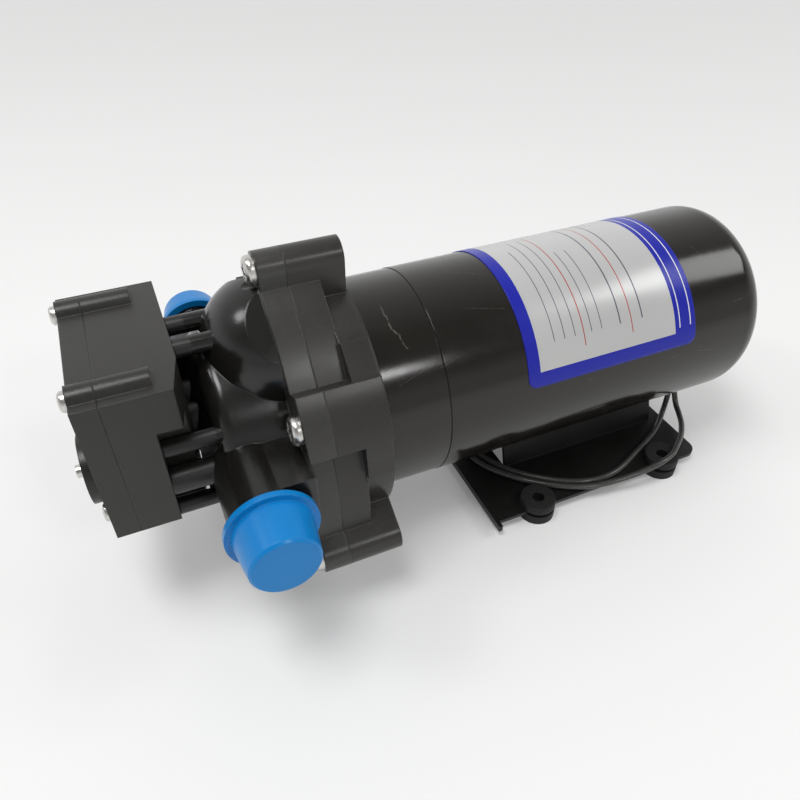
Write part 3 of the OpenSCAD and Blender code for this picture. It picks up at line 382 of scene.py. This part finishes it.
def objectCoords(tree):
    return tree.nodes.new("ShaderNodeTexCoord").outputs["Object"]


def surfaceMap(tree):
    return tree.nodes.new("ShaderNodeTexCoord").outputs["UV"]


def startGroup(name, inputs, outputs):
    tree = bpy.data.node_groups.new(name, "ShaderNodeTree")
    for label, number in inputs:
        socket = tree.interface.new_socket(label, in_out="INPUT", socket_type="NodeSocketFloat")
        socket.default_value = number
    for label, kind in outputs:
        tree.interface.new_socket(label, in_out="OUTPUT", socket_type=kind)
    return tree, tree.nodes.new("NodeGroupInput").outputs, tree.nodes.new("NodeGroupOutput").inputs


# rounded look of moulded and pressed edges, and their paler tone, which is partly wear and partly a painted edge
# highlight
edgeEffect = {"samples": 6, "patchScale": 180.0, "patch": (0.35, 0.7, 0.25, 1.0)}


def buildEdgeGroup(effect):
    tree, source, sink = startGroup("edgeWearSheen", [("Radius", 0.0005), ("Gain", 4.0)],
                                    [("Edge", "NodeSocketFloat"), ("Normal", "NodeSocketVector")])
    bevel = tree.nodes.new("ShaderNodeBevel")
    bevel.samples = effect["samples"]
    tree.links.new(source["Radius"], bevel.inputs["Radius"])
    geometry = tree.nodes.new("ShaderNodeNewGeometry")
    dot = addVector(tree, "DOT_PRODUCT", bevel.outputs["Normal"], geometry.outputs["Normal"])
    bend = addMath(tree, "SUBTRACT", 1.0, dot, clamp=True)
    patch = addRange(tree, addNoise(tree, objectCoords(tree), effect["patchScale"]), *effect["patch"])
    wornAndSheen = addMath(tree, "MULTIPLY", addProduct(tree, bend, source["Gain"]), patch, clamp=True)
    tree.links.new(wornAndSheen, sink["Edge"])
    tree.links.new(bevel.outputs["Normal"], sink["Normal"])
    return tree


# slow drift of tone over a surface, with a finer mottle in it
driftEffect = {"slowDetail": 2.0, "finer": 14.0, "fineDetail": 4.0, "middle": 0.5}


def buildDriftGroup(effect):
    tree, source, sink = startGroup("toneDrift", [("Scale", 30.0), ("Mottle", 0.4)],
                                    [("Drift", "NodeSocketFloat")])
    coords = objectCoords(tree)
    slow = addNoise(tree, coords, source["Scale"], effect["slowDetail"])
    fine = addNoise(tree, coords, addProduct(tree, source["Scale"], effect["finer"]), effect["fineDetail"])
    lean = addProduct(tree, addMath(tree, "SUBTRACT", fine, effect["middle"]), source["Mottle"])
    tree.links.new(addMath(tree, "ADD", slow, lean, clamp=True), sink["Drift"])
    return tree


# spark-eroded mould grain: rounded pits over a fine roughness
grainEffect = {"coarser": 0.6, "fineDetail": 3.0}


def buildGrainGroup(effect):
    tree, source, sink = startGroup("mouldGrain", [("Scale", 2500.0), ("Pits", 0.6)],
                                    [("Height", "NodeSocketFloat")])
    coords = objectCoords(tree)
    cells = addCells(tree, coords, source["Scale"], "SMOOTH_F1")
    fine = addNoise(tree, coords, addProduct(tree, source["Scale"], effect["coarser"]), effect["fineDetail"])
    pits = addProduct(tree, cells["Distance"], source["Pits"])
    tree.links.new(addMath(tree, "ADD", pits, fine), sink["Height"])
    return tree


# fine straight scratches: a random cell holds at most one, where a tilted plane through its middle
# cuts the surface, broken up by a fine noise
scratchEffect = {"reach": 0.5, "shuffle": 37.0, "finer": 12.0, "fineDetail": 2.0, "broken": (0.4, 0.55, 0.0, 1.0)}


def buildScratchGroup(effect):
    tree, source, sink = startGroup("handlingScratches", [("Scale", 60.0), ("Width", 0.00006), ("Cover", 0.55)],
                                    [("Scratch", "NodeSocketFloat")])
    coords = objectCoords(tree)
    cells = addCells(tree, coords, source["Scale"])
    off = addVector(tree, "SUBTRACT", coords, cells["Position"])
    tilt = addVector(tree, "NORMALIZE", addVector(tree, "SUBTRACT", cells["Color"], (0.5, 0.5, 0.5)))
    apart = addMath(tree, "ABSOLUTE", addVector(tree, "DOT_PRODUCT", off, tilt))
    thin = addMath(tree, "LESS_THAN", apart, source["Width"])
    reach = addMath(tree, "DIVIDE", effect["reach"], source["Scale"])
    near = addMath(tree, "LESS_THAN", addVector(tree, "LENGTH", off), reach)
    draw = addMath(tree, "FRACT", addProduct(tree, addSplit(tree, cells["Color"])["X"], effect["shuffle"]))
    keep = addMath(tree, "GREATER_THAN", draw, source["Cover"])
    fine = addNoise(tree, coords, addProduct(tree, source["Scale"], effect["finer"]), effect["fineDetail"])
    broken = addRange(tree, fine, *effect["broken"])
    tree.links.new(addProduct(tree, thin, near, keep, broken), sink["Scratch"])
    return tree


# dust that settles where a surface faces up
dustEffect = {"level": (0.35, 1.0, 0.0, 1.0), "speckScale": 900.0, "speckDetail": 5.0, "speckRough": 0.7,
              "specks": (0.45, 0.75, 0.1, 1.0)}


def buildDustGroup(effect):
    tree, source, sink = startGroup("settledDust", [("Amount", 0.2)], [("Dust", "NodeSocketFloat")])
    facing = addSplit(tree, tree.nodes.new("ShaderNodeNewGeometry").outputs["Normal"])["Z"]
    level = addRange(tree, facing, *effect["level"])
    noise = addNoise(tree, objectCoords(tree), effect["speckScale"], effect["speckDetail"], effect["speckRough"])
    film = addProduct(tree, level, addRange(tree, noise, *effect["specks"]))
    tree.links.new(addMath(tree, "MULTIPLY", film, source["Amount"], clamp=True), sink["Dust"])
    return tree


# one printed rule: inside a width along the label and between two ends across it
def buildRuleGroup():
    inputs = [("Along", 0.0), ("Across", 0.0), ("At", 10.0), ("Width", 0.4), ("From", 8.0), ("To", 60.0)]
    tree, source, sink = startGroup("printedRule", inputs, [("Ink", "NodeSocketFloat")])
    off = addMath(tree, "ABSOLUTE", addMath(tree, "SUBTRACT", source["Along"], source["At"]))
    line = addMath(tree, "LESS_THAN", off, addMath(tree, "DIVIDE", source["Width"], 2.0))
    span = addBetween(tree, source["Across"], source["From"], source["To"])
    tree.links.new(addProduct(tree, span, line), sink["Ink"])
    return tree


edgeGroup = buildEdgeGroup(edgeEffect)
driftGroup = buildDriftGroup(driftEffect)
grainGroup = buildGrainGroup(grainEffect)
scratchGroup = buildScratchGroup(scratchEffect)
dustGroup = buildDustGroup(dustEffect)
ruleGroup = buildRuleGroup()
print("shader groups built")


def placeGroup(tree, group, **values):
    node = tree.nodes.new("ShaderNodeGroup")
    node.node_tree = group
    for name, value in values.items():
        feed(tree, node.inputs[name], value)
    return node.outputs


def startMaterial(name):
    material = bpy.data.materials.new(name)
    material.use_nodes = True
    return material, material.node_tree, material.node_tree.nodes["Principled BSDF"].inputs


driftSpan = (0.25, 0.75)  # the part of a drift that roughness follows

# what a finish has where its own dictionary doesn't say
plainFinish = {"mottle": 0.5, "edgeRadius": 0.0004, "edgeGain": 3.0, "wearAndSheen": 0.3, "scratch": 0.0,
               "scratchCover": 0.55, "dust": 0.0, "dustTone": (0.2, 0.19, 0.17), "dustRough": 0.4, "pits": 0.6,
               "bumpDepth": 0.0001, "metal": 0.0, "specular": 0.5, "subsurface": 0.0,
               "spread": (0.2, 0.5, 1.0), "spreadScale": 0.001}


# one wavy score part of the way round: its place along the part shifts with the place across, rubbed in patches
def addScore(tree, score):
    coords = objectCoords(tree)
    place = addSplit(tree, coords)
    waver = addRange(tree, addNoise(tree, coords, score["waverScale"]), *score["waver"])
    line = addMath(tree, "ADD", addRange(tree, place["Y"], *score["bend"], *score["along"]), waver)
    off = addMath(tree, "ABSOLUTE", addMath(tree, "SUBTRACT", place["X"], line))
    thin = addMath(tree, "LESS_THAN", off, score["half"])
    top = addMath(tree, "GREATER_THAN", place["Z"], score["above"])
    rubbed = addRange(tree, addNoise(tree, coords, score["rubScale"]), *score["rub"])
    return addProduct(tree, thin, addBetween(tree, place["Y"], *score["span"]), top, rubbed)


# a finish of one surface: two tones that drift, edges paled partly by wear and partly by a painted highlight,
# dust, scratches, roughness and bump
def makeFinish(name, own):
    look = {**plainFinish, **own}
    material, tree, shader = startMaterial(name)
    drift = placeGroup(tree, driftGroup, Scale=look["driftScale"], Mottle=look["mottle"])["Drift"]
    edge = placeGroup(tree, edgeGroup, Radius=look["edgeRadius"], Gain=look["edgeGain"])
    colour = addMix(tree, drift, look["dark"], look["light"])
    if look["scratch"] > 0:
        scratch = placeGroup(tree, scratchGroup, Scale=look["scratchScale"], Width=look["scratchWidth"],
                             Cover=look["scratchCover"])["Scratch"]
        colour = addMix(tree, addProduct(tree, scratch, look["scratch"]), colour, look["wornAndSheen"])
    # edges take the pale tone: partly wear, partly a painted edge highlight
    colour = addMix(tree, addProduct(tree, edge["Edge"], look["wearAndSheen"]), colour, look["wornAndSheen"])
    if "score" in look:
        colour = addMix(tree, addScore(tree, look["score"]), colour, look["wornAndSheen"])
    rough = addRange(tree, drift, *driftSpan, *look["rough"])
    if "rim" in look:  # a clamped rim, duller than the domes and paler with a painted sheen, and dull posts
        zone = look["rim"]
        along = addSplit(tree, objectCoords(tree))["X"]
        rim = addRange(tree, along, *zone["edge"], 0.0, 1.0)
        # the paler rim tones are a painted sheen
        colour = addMix(tree, rim, colour, addMix(tree, drift, zone["dark"], zone["light"]))
        posts = addRange(tree, along, *zone["posts"], zone["postRough"], 0.0)
        duller = addMath(tree, "ADD", addProduct(tree, rim, zone["rough"]), posts)
        rough = addMath(tree, "ADD", rough, duller, clamp=True)
    if look["dust"] > 0:
        dust = placeGroup(tree, dustGroup, Amount=look["dust"])["Dust"]
        colour = addMix(tree, dust, colour, look["dustTone"])
        rough = addMath(tree, "ADD", rough, addProduct(tree, dust, look["dustRough"]), clamp=True)
    grain = placeGroup(tree, grainGroup, Scale=look["grainScale"], Pits=look["pits"])["Height"]
    tree.links.new(colour, shader["Base Color"])
    tree.links.new(rough, shader["Roughness"])
    tree.links.new(addBump(tree, grain, look["bump"], look["bumpDepth"], edge["Normal"]), shader["Normal"])
    shader["Metallic"].default_value = look["metal"]
    shader["Specular IOR Level"].default_value = look["specular"]
    if look["subsurface"] > 0:
        shader["Subsurface Weight"].default_value = look["subsurface"]
        shader["Subsurface Radius"].default_value = look["spread"]
        shader["Subsurface Scale"].default_value = look["spreadScale"]
    return material


def dress(material, *nodes):
    for node in nodes:
        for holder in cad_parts[node].material_slots:
            holder.material = material


# a score on the front bell and a painted sheen on the rim of the pump head, places in metres in the frame
bellScore = {"along": (-0.0772, -0.0798), "bend": (-0.0225, -0.0165), "span": (-0.0235, -0.0085), "above": 0.06,
             "half": 0.00025, "waverScale": 420.0, "waver": (0.3, 0.7, -0.0005, 0.0005),
             "rubScale": 700.0, "rub": (0.36, 0.6, 0.15, 0.8)}
# the rim's dark and light tones are a painted sheen; its added roughness is real
headRimSheen = {"edge": (-0.1162, -0.1152), "dark": (0.025, 0.0242, 0.0222), "light": (0.05, 0.0483, 0.0438),
           "rough": 0.11, "posts": (-0.138, -0.137), "postRough": 0.18}

canEnamel = {"dark": (0.0056, 0.0045, 0.0033), "light": (0.0135, 0.0108, 0.0076), "wornAndSheen": (0.13, 0.12, 0.11),
             "rough": (0.12, 0.19), "driftScale": 22.0, "grainScale": 700.0, "bump": 0.04, "edgeRadius": 0.0006,
             "wearAndSheen": 0.1, "scratch": 0.4, "scratchScale": 70.0, "scratchWidth": 0.00008, "scratchCover": 0.7,
             "dust": 0.012, "score": bellScore}
baseEnamel = {"dark": (0.0045, 0.0045, 0.0043), "light": (0.01, 0.0097, 0.0092), "wornAndSheen": (0.14, 0.135, 0.13),
              "rough": (0.34, 0.5), "driftScale": 40.0, "grainScale": 1200.0, "bump": 0.1,
              "wearAndSheen": 0.16, "scratch": 0.1, "scratchScale": 110.0, "scratchWidth": 0.00007, "dust": 0.04,
              "specular": 0.35}
headMoulding = {"dark": (0.0055, 0.0052, 0.0047), "light": (0.0115, 0.011, 0.01), "wornAndSheen": (0.1, 0.097, 0.09),
                "rough": (0.16, 0.24), "driftScale": 35.0, "grainScale": 2200.0, "bump": 0.05,
                "edgeRadius": 0.0006, "wearAndSheen": 0.06, "scratch": 0.08, "scratchScale": 130.0,
                "scratchWidth": 0.00005, "scratchCover": 0.75, "dust": 0.015, "rim": headRimSheen}
driveMoulding = {"dark": (0.017, 0.016, 0.0142), "light": (0.036, 0.034, 0.0304), "wornAndSheen": (0.17, 0.165, 0.155),
                 "rough": (0.25, 0.36), "driftScale": 40.0, "mottle": 0.25, "grainScale": 1800.0, "bump": 0.05,
                 "edgeRadius": 0.0006, "wearAndSheen": 0.2, "scratch": 0.16, "scratchScale": 120.0,
                 "scratchWidth": 0.00007, "scratchCover": 0.6, "dust": 0.03, "specular": 0.45}
switchMoulding = {"dark": (0.0155, 0.015, 0.0128), "light": (0.029, 0.0282, 0.0245),
                  "wornAndSheen": (0.13, 0.128, 0.12), "rough": (0.28, 0.4), "driftScale": 45.0, "grainScale": 2800.0,
                  "bump": 0.2, "edgeRadius": 0.0006, "wearAndSheen": 0.18, "scratch": 0.06, "scratchScale": 140.0,
                  "scratchWidth": 0.00005, "scratchCover": 0.7, "dust": 0.05, "specular": 0.42}
softRubber = {"dark": (0.007, 0.007, 0.007), "light": (0.014, 0.0137, 0.0133), "wornAndSheen": (0.08, 0.078, 0.075),
              "rough": (0.55, 0.72), "driftScale": 60.0, "grainScale": 3000.0, "bump": 0.2,
              "edgeRadius": 0.0005, "wearAndSheen": 0.12, "dust": 0.06, "specular": 0.35}
capPlastic = {"dark": (0.0006, 0.175, 0.5), "light": (0.0016, 0.245, 0.65), "wornAndSheen": (0.05, 0.33, 0.74),
              "rough": (0.24, 0.36), "driftScale": 50.0, "mottle": 0.3, "grainScale": 1500.0, "bump": 0.05,
              "wearAndSheen": 0.25, "subsurface": 0.04, "specular": 0.32}
screwSteel = {"dark": (0.5, 0.49, 0.47), "light": (0.74, 0.73, 0.7), "wornAndSheen": (0.85, 0.84, 0.82),
              "rough": (0.2, 0.38), "driftScale": 400.0, "grainScale": 4000.0, "bump": 0.12,
              "edgeRadius": 0.0002, "wearAndSheen": 0.4, "scratch": 0.3, "scratchScale": 500.0,
              "scratchWidth": 0.00003, "metal": 1.0}
stackedSteel = {"dark": (0.3, 0.3, 0.31), "light": (0.46, 0.46, 0.47), "wornAndSheen": (0.6, 0.6, 0.6),
                "rough": (0.35, 0.5), "driftScale": 200.0, "grainScale": 3000.0, "bump": 0.15, "metal": 1.0}
woundCopper = {"dark": (0.52, 0.2, 0.07), "light": (0.72, 0.34, 0.15), "wornAndSheen": (0.85, 0.5, 0.28),
               "rough": (0.25, 0.4), "driftScale": 300.0, "grainScale": 3500.0, "bump": 0.25, "metal": 1.0}
sinteredBronze = {"dark": (0.36, 0.22, 0.08), "light": (0.55, 0.37, 0.16), "wornAndSheen": (0.7, 0.52, 0.28),
                  "rough": (0.35, 0.5), "driftScale": 400.0, "grainScale": 5000.0, "bump": 0.3, "metal": 1.0}
firedFerrite = {"dark": (0.025, 0.025, 0.027), "light": (0.06, 0.06, 0.062), "wornAndSheen": (0.12, 0.12, 0.12),
                "rough": (0.55, 0.75), "driftScale": 150.0, "grainScale": 3500.0, "bump": 0.3}
brushCarbon = {"dark": (0.014, 0.014, 0.015), "light": (0.032, 0.032, 0.034), "wornAndSheen": (0.09, 0.09, 0.09),
               "rough": (0.45, 0.6), "driftScale": 200.0, "grainScale": 4000.0, "bump": 0.2}
naturalResin = {"dark": (0.5, 0.49, 0.45), "light": (0.64, 0.63, 0.58), "wornAndSheen": (0.75, 0.74, 0.7),
                "rough": (0.35, 0.5), "driftScale": 60.0, "grainScale": 2500.0, "bump": 0.08, "subsurface": 0.1}

dress(makeFinish("canEnamel", canEnamel), "motor_can", "front_bell")
dress(makeFinish("baseEnamel", baseEnamel), "base_plate")
dress(makeFinish("headMoulding", headMoulding), "upper_housing", "brush_plate")
dress(makeFinish("driveMoulding", driveMoulding), "lower_housing")
dress(makeFinish("switchMoulding", switchMoulding), "switch_body", "switch_cover")
dress(makeFinish("softRubber", softRubber), "rubber_feet", "diaphragm", "inlet_valves", "outlet_valve",
      "valve_plate_seal", "neck_seals", "switch_diaphragm", "lead_grommet")
dress(makeFinish("capPlastic", capPlastic), "near_cap", "far_cap", "switch_button")
steelFinish = makeFinish("screwSteel", screwSteel)
dress(steelFinish, "saddle_screws", "motor_shaft", "brush_springs", "motor_screws", "cam", "cam_set_screw",
      "cam_bearing_inner", "cam_bearing_balls", "cam_bearing_outer", "piston_screws", "head_screws",
      "cover_screws", "switch_spring", "adjusting_screw", "check_valve_spring")
dress(makeFinish("stackedSteel", stackedSteel), "armature_core")
copperFinish = makeFinish("woundCopper", woundCopper)
dress(copperFinish, "armature_windings", "commutator", "lead_ends")
dress(makeFinish("sinteredBronze", sinteredBronze), "front_bush", "rear_bush")
dress(makeFinish("firedFerrite", firedFerrite), "magnets")
dress(makeFinish("brushCarbon", brushCarbon), "brushes", "microswitch")
dress(makeFinish("naturalResin", naturalResin), "wobble_plate", "piston_discs", "valve_plate", "switch_plunger",
      "check_valve")
for tips in (innerTips, outerTips):
    tips.data.materials.append(copperFinish)
for spring in springs:
    spring.data.materials.append(steelFinish)
print("node finishes made")

# sheath of the leads: glossy vinyl with faint bands of drawing along its length, their pale tone partly a painted
# sheen
sheathLook = {"dark": (0.022, 0.022, 0.0215), "light": (0.085, 0.084, 0.081), "rough": (0.16, 0.28),
              "bands": (0.9, 6.0, 1.0), "bandScale": 1.0, "bandDetail": 4.0, "bandSpan": (0.3, 0.7),
              "bump": 0.15, "bumpDepth": 0.00008}


def makeSheath(look):
    material, tree, shader = startMaterial("leadSheath")
    stretch = tree.nodes.new("ShaderNodeMapping")
    stretch.inputs["Scale"].default_value = look["bands"]
    tree.links.new(surfaceMap(tree), stretch.inputs["Vector"])
    drawn = addNoise(tree, stretch.outputs["Vector"], look["bandScale"], look["bandDetail"])
    # the pale bands are partly drawing marks and partly painted highlight lines
    tree.links.new(addMix(tree, drawn, look["dark"], look["light"]), shader["Base Color"])
    tree.links.new(addRange(tree, drawn, *look["bandSpan"], *look["rough"]), shader["Roughness"])
    tree.links.new(addBump(tree, drawn, look["bump"], look["bumpDepth"]), shader["Normal"])
    return material


sheath = makeSheath(sheathLook)
innerLead.data.materials.append(sheath)
outerLead.data.materials.append(sheath)

# foil label: blue frame round a silver field, blank but for thin rules, in millimetres on the surface map;
# a rule is its place along the label, its width and its two ends across it
labelLook = {
    "frameBlue": (0.013, 0.02, 0.4), "frameDeep": (0.009, 0.014, 0.31),
    "field": (0.5, 0.505, 0.5), "fieldPale": (0.6, 0.605, 0.595),
    "greyInk": (0.12, 0.12, 0.16), "redInk": (0.45, 0.05, 0.05), "whiteInk": (0.75, 0.76, 0.8),
    "fieldAlong": (4.4, 59.2), "fieldAcross": (5.2, 79.5),
    "greyRules": [(11.0, 0.3, 14.0, 52.0), (15.0, 0.3, 14.0, 60.0), (19.0, 0.3, 14.0, 60.0),
                  (25.5, 0.3, 14.0, 46.0), (29.5, 0.3, 14.0, 46.0), (37.0, 0.5, 14.0, 66.0),
                  (46.0, 0.5, 14.0, 66.0)],
    "redRules": [(22.4, 0.35, 10.0, 62.0), (41.5, 0.35, 10.0, 70.0)],
    "whiteRules": [(61.2, 0.4, 7.0, 77.0), (65.8, 0.4, 7.0, 77.0)],
    "driftScale": 14.0, "mottle": 0.05, "rough": (0.22, 0.34), "fieldMetal": 0.2, "specular": 0.3,
    "grainScale": 900.0, "pits": 0.3, "bump": 0.04, "bumpDepth": 0.0001,
}


def makeLabelFilm(look):
    material, tree, shader = startMaterial("labelFilm")
    place = addSplit(tree, surfaceMap(tree))
    along, across = place["X"], place["Y"]
    inside = addProduct(tree, addBetween(tree, along, *look["fieldAlong"]),
                        addBetween(tree, across, *look["fieldAcross"]))
    drift = placeGroup(tree, driftGroup, Scale=look["driftScale"], Mottle=look["mottle"])["Drift"]
    frameTone = addMix(tree, drift, look["frameDeep"], look["frameBlue"])
    fieldTone = addMix(tree, drift, look["field"], look["fieldPale"])
    colour = addMix(tree, inside, frameTone, fieldTone)
    for rules, ink in (("greyRules", "greyInk"), ("redRules", "redInk"), ("whiteRules", "whiteInk")):
        for at, width, start, end in look[rules]:
            mark = placeGroup(tree, ruleGroup, Along=along, Across=across, At=at, Width=width,
                              From=start, To=end)["Ink"]
            colour = addMix(tree, mark, colour, look[ink])
    grain = placeGroup(tree, grainGroup, Scale=look["grainScale"], Pits=look["pits"])["Height"]
    tree.links.new(colour, shader["Base Color"])
    tree.links.new(addRange(tree, drift, *driftSpan, *look["rough"]), shader["Roughness"])
    tree.links.new(addProduct(tree, inside, look["fieldMetal"]), shader["Metallic"])
    tree.links.new(addBump(tree, grain, look["bump"], look["bumpDepth"]), shader["Normal"])
    shader["Specular IOR Level"].default_value = look["specular"]
    return material


motorLabel.data.materials.append(makeLabelFilm(labelLook))
print("label and lead finishes made")

# pale floor, which looks a little paler than it lights and keeps the shadow
floorLook = {"tone": (0.8, 0.8, 0.795), "paler": 1.02, "driftScale": 3.0, "mottle": 0.2, "rough": 0.9,
             "specular": 0.1, "lift": (0.12, 0.46), "liftReach": (0.35, 2.2), "reach": 5.0}


def makeFloor(look):
    r = look["reach"]
    mesh = bpy.data.meshes.new("studioFloor")
    mesh.from_pydata([(-r, -r, 0), (r, -r, 0), (r, r, 0), (-r, r, 0)], [], [(0, 1, 2, 3)])
    floor = bpy.data.objects.new("studioFloor", mesh)
    scene.collection.objects.link(floor)
    material, tree, shader = startMaterial("paleFloor")
    drift = placeGroup(tree, driftGroup, Scale=look["driftScale"], Mottle=look["mottle"])["Drift"]
    tone = addMix(tree, drift, look["tone"], tuple(v * look["paler"] for v in look["tone"]))
    tree.links.new(tone, shader["Base Color"])
    shader["Roughness"].default_value = look["rough"]
    shader["Specular IOR Level"].default_value = look["specular"]
    path = tree.nodes.new("ShaderNodeLightPath").outputs
    seen = addMath(tree, "MAXIMUM", path["Is Camera Ray"], path["Is Glossy Ray"])
    seen = addMath(tree, "MAXIMUM", seen, path["Is Transmission Ray"])
    away = addRange(tree, addVector(tree, "LENGTH", objectCoords(tree)), *look["liftReach"], *look["lift"])
    shader["Emission Color"].default_value = (1.0, 1.0, 1.0, 1.0)
    tree.links.new(addProduct(tree, seen, away), shader["Emission Strength"])
    mesh.materials.append(material)


# plain studio world: darker on the near side than on the far one, with a pale backdrop round the horizon
skyLook = {"turn": (-0.2, 0.9), "level": (0.24, 0.9),
           "bandRise": (0.24, 0.45), "bandTurn": (-0.7, 0.2), "band": (0.6, 0.92)}


def makeWorld(look):
    world = bpy.data.worlds.new("studioWorld")
    world.use_nodes = True
    scene.world = world
    tree = world.node_tree
    way = addSplit(tree, tree.nodes.new("ShaderNodeTexCoord").outputs["Generated"])
    level = addRange(tree, way["Y"], *look["turn"], *look["level"])
    pale = addRange(tree, way["Y"], *look["bandTurn"], *look["band"])
    band = addRange(tree, way["Z"], *look["bandRise"], 1.0, 0.0)
    background = tree.nodes["Background"].inputs
    background["Color"].default_value = (1.0, 1.0, 1.0, 1.0)
    tree.links.new(addRange(tree, band, 0.0, 1.0, level, pale), background["Strength"])


# four soft lamps: name, place, width, height and power
lampFit = {"aim": (-0.05, 0.0, 0.05),
           "lamps": [("topSoftbox", (-0.32, -0.10, 0.95), 0.42, 0.26, 3.6),
                     ("nearSoftbox", (0.165, -0.76, 0.69), 0.2, 0.12, 1.1),
                     ("leftSoftbox", (-0.75, 0.17, 0.85), 0.22, 0.22, 1.3),
                     ("rearSoftbox", (0.75, -0.30, 0.75), 0.35, 0.35, 1.8)]}


def makeLamps(fit):
    for name, place, wide, high, power in fit["lamps"]:
        data = bpy.data.lights.new(name, "AREA")
        data.shape = "RECTANGLE"
        data.size, data.size_y, data.energy = wide, high, power
        lamp = bpy.data.objects.new(name, data)
        lamp.location = place
        lamp.rotation_euler = (Vector(fit["aim"]) - Vector(place)).to_track_quat("-Z", "Y").to_euler()
        scene.collection.objects.link(lamp)


makeFloor(floorLook)
makeWorld(skyLook)
makeLamps(lampFit)
print("studio lit")
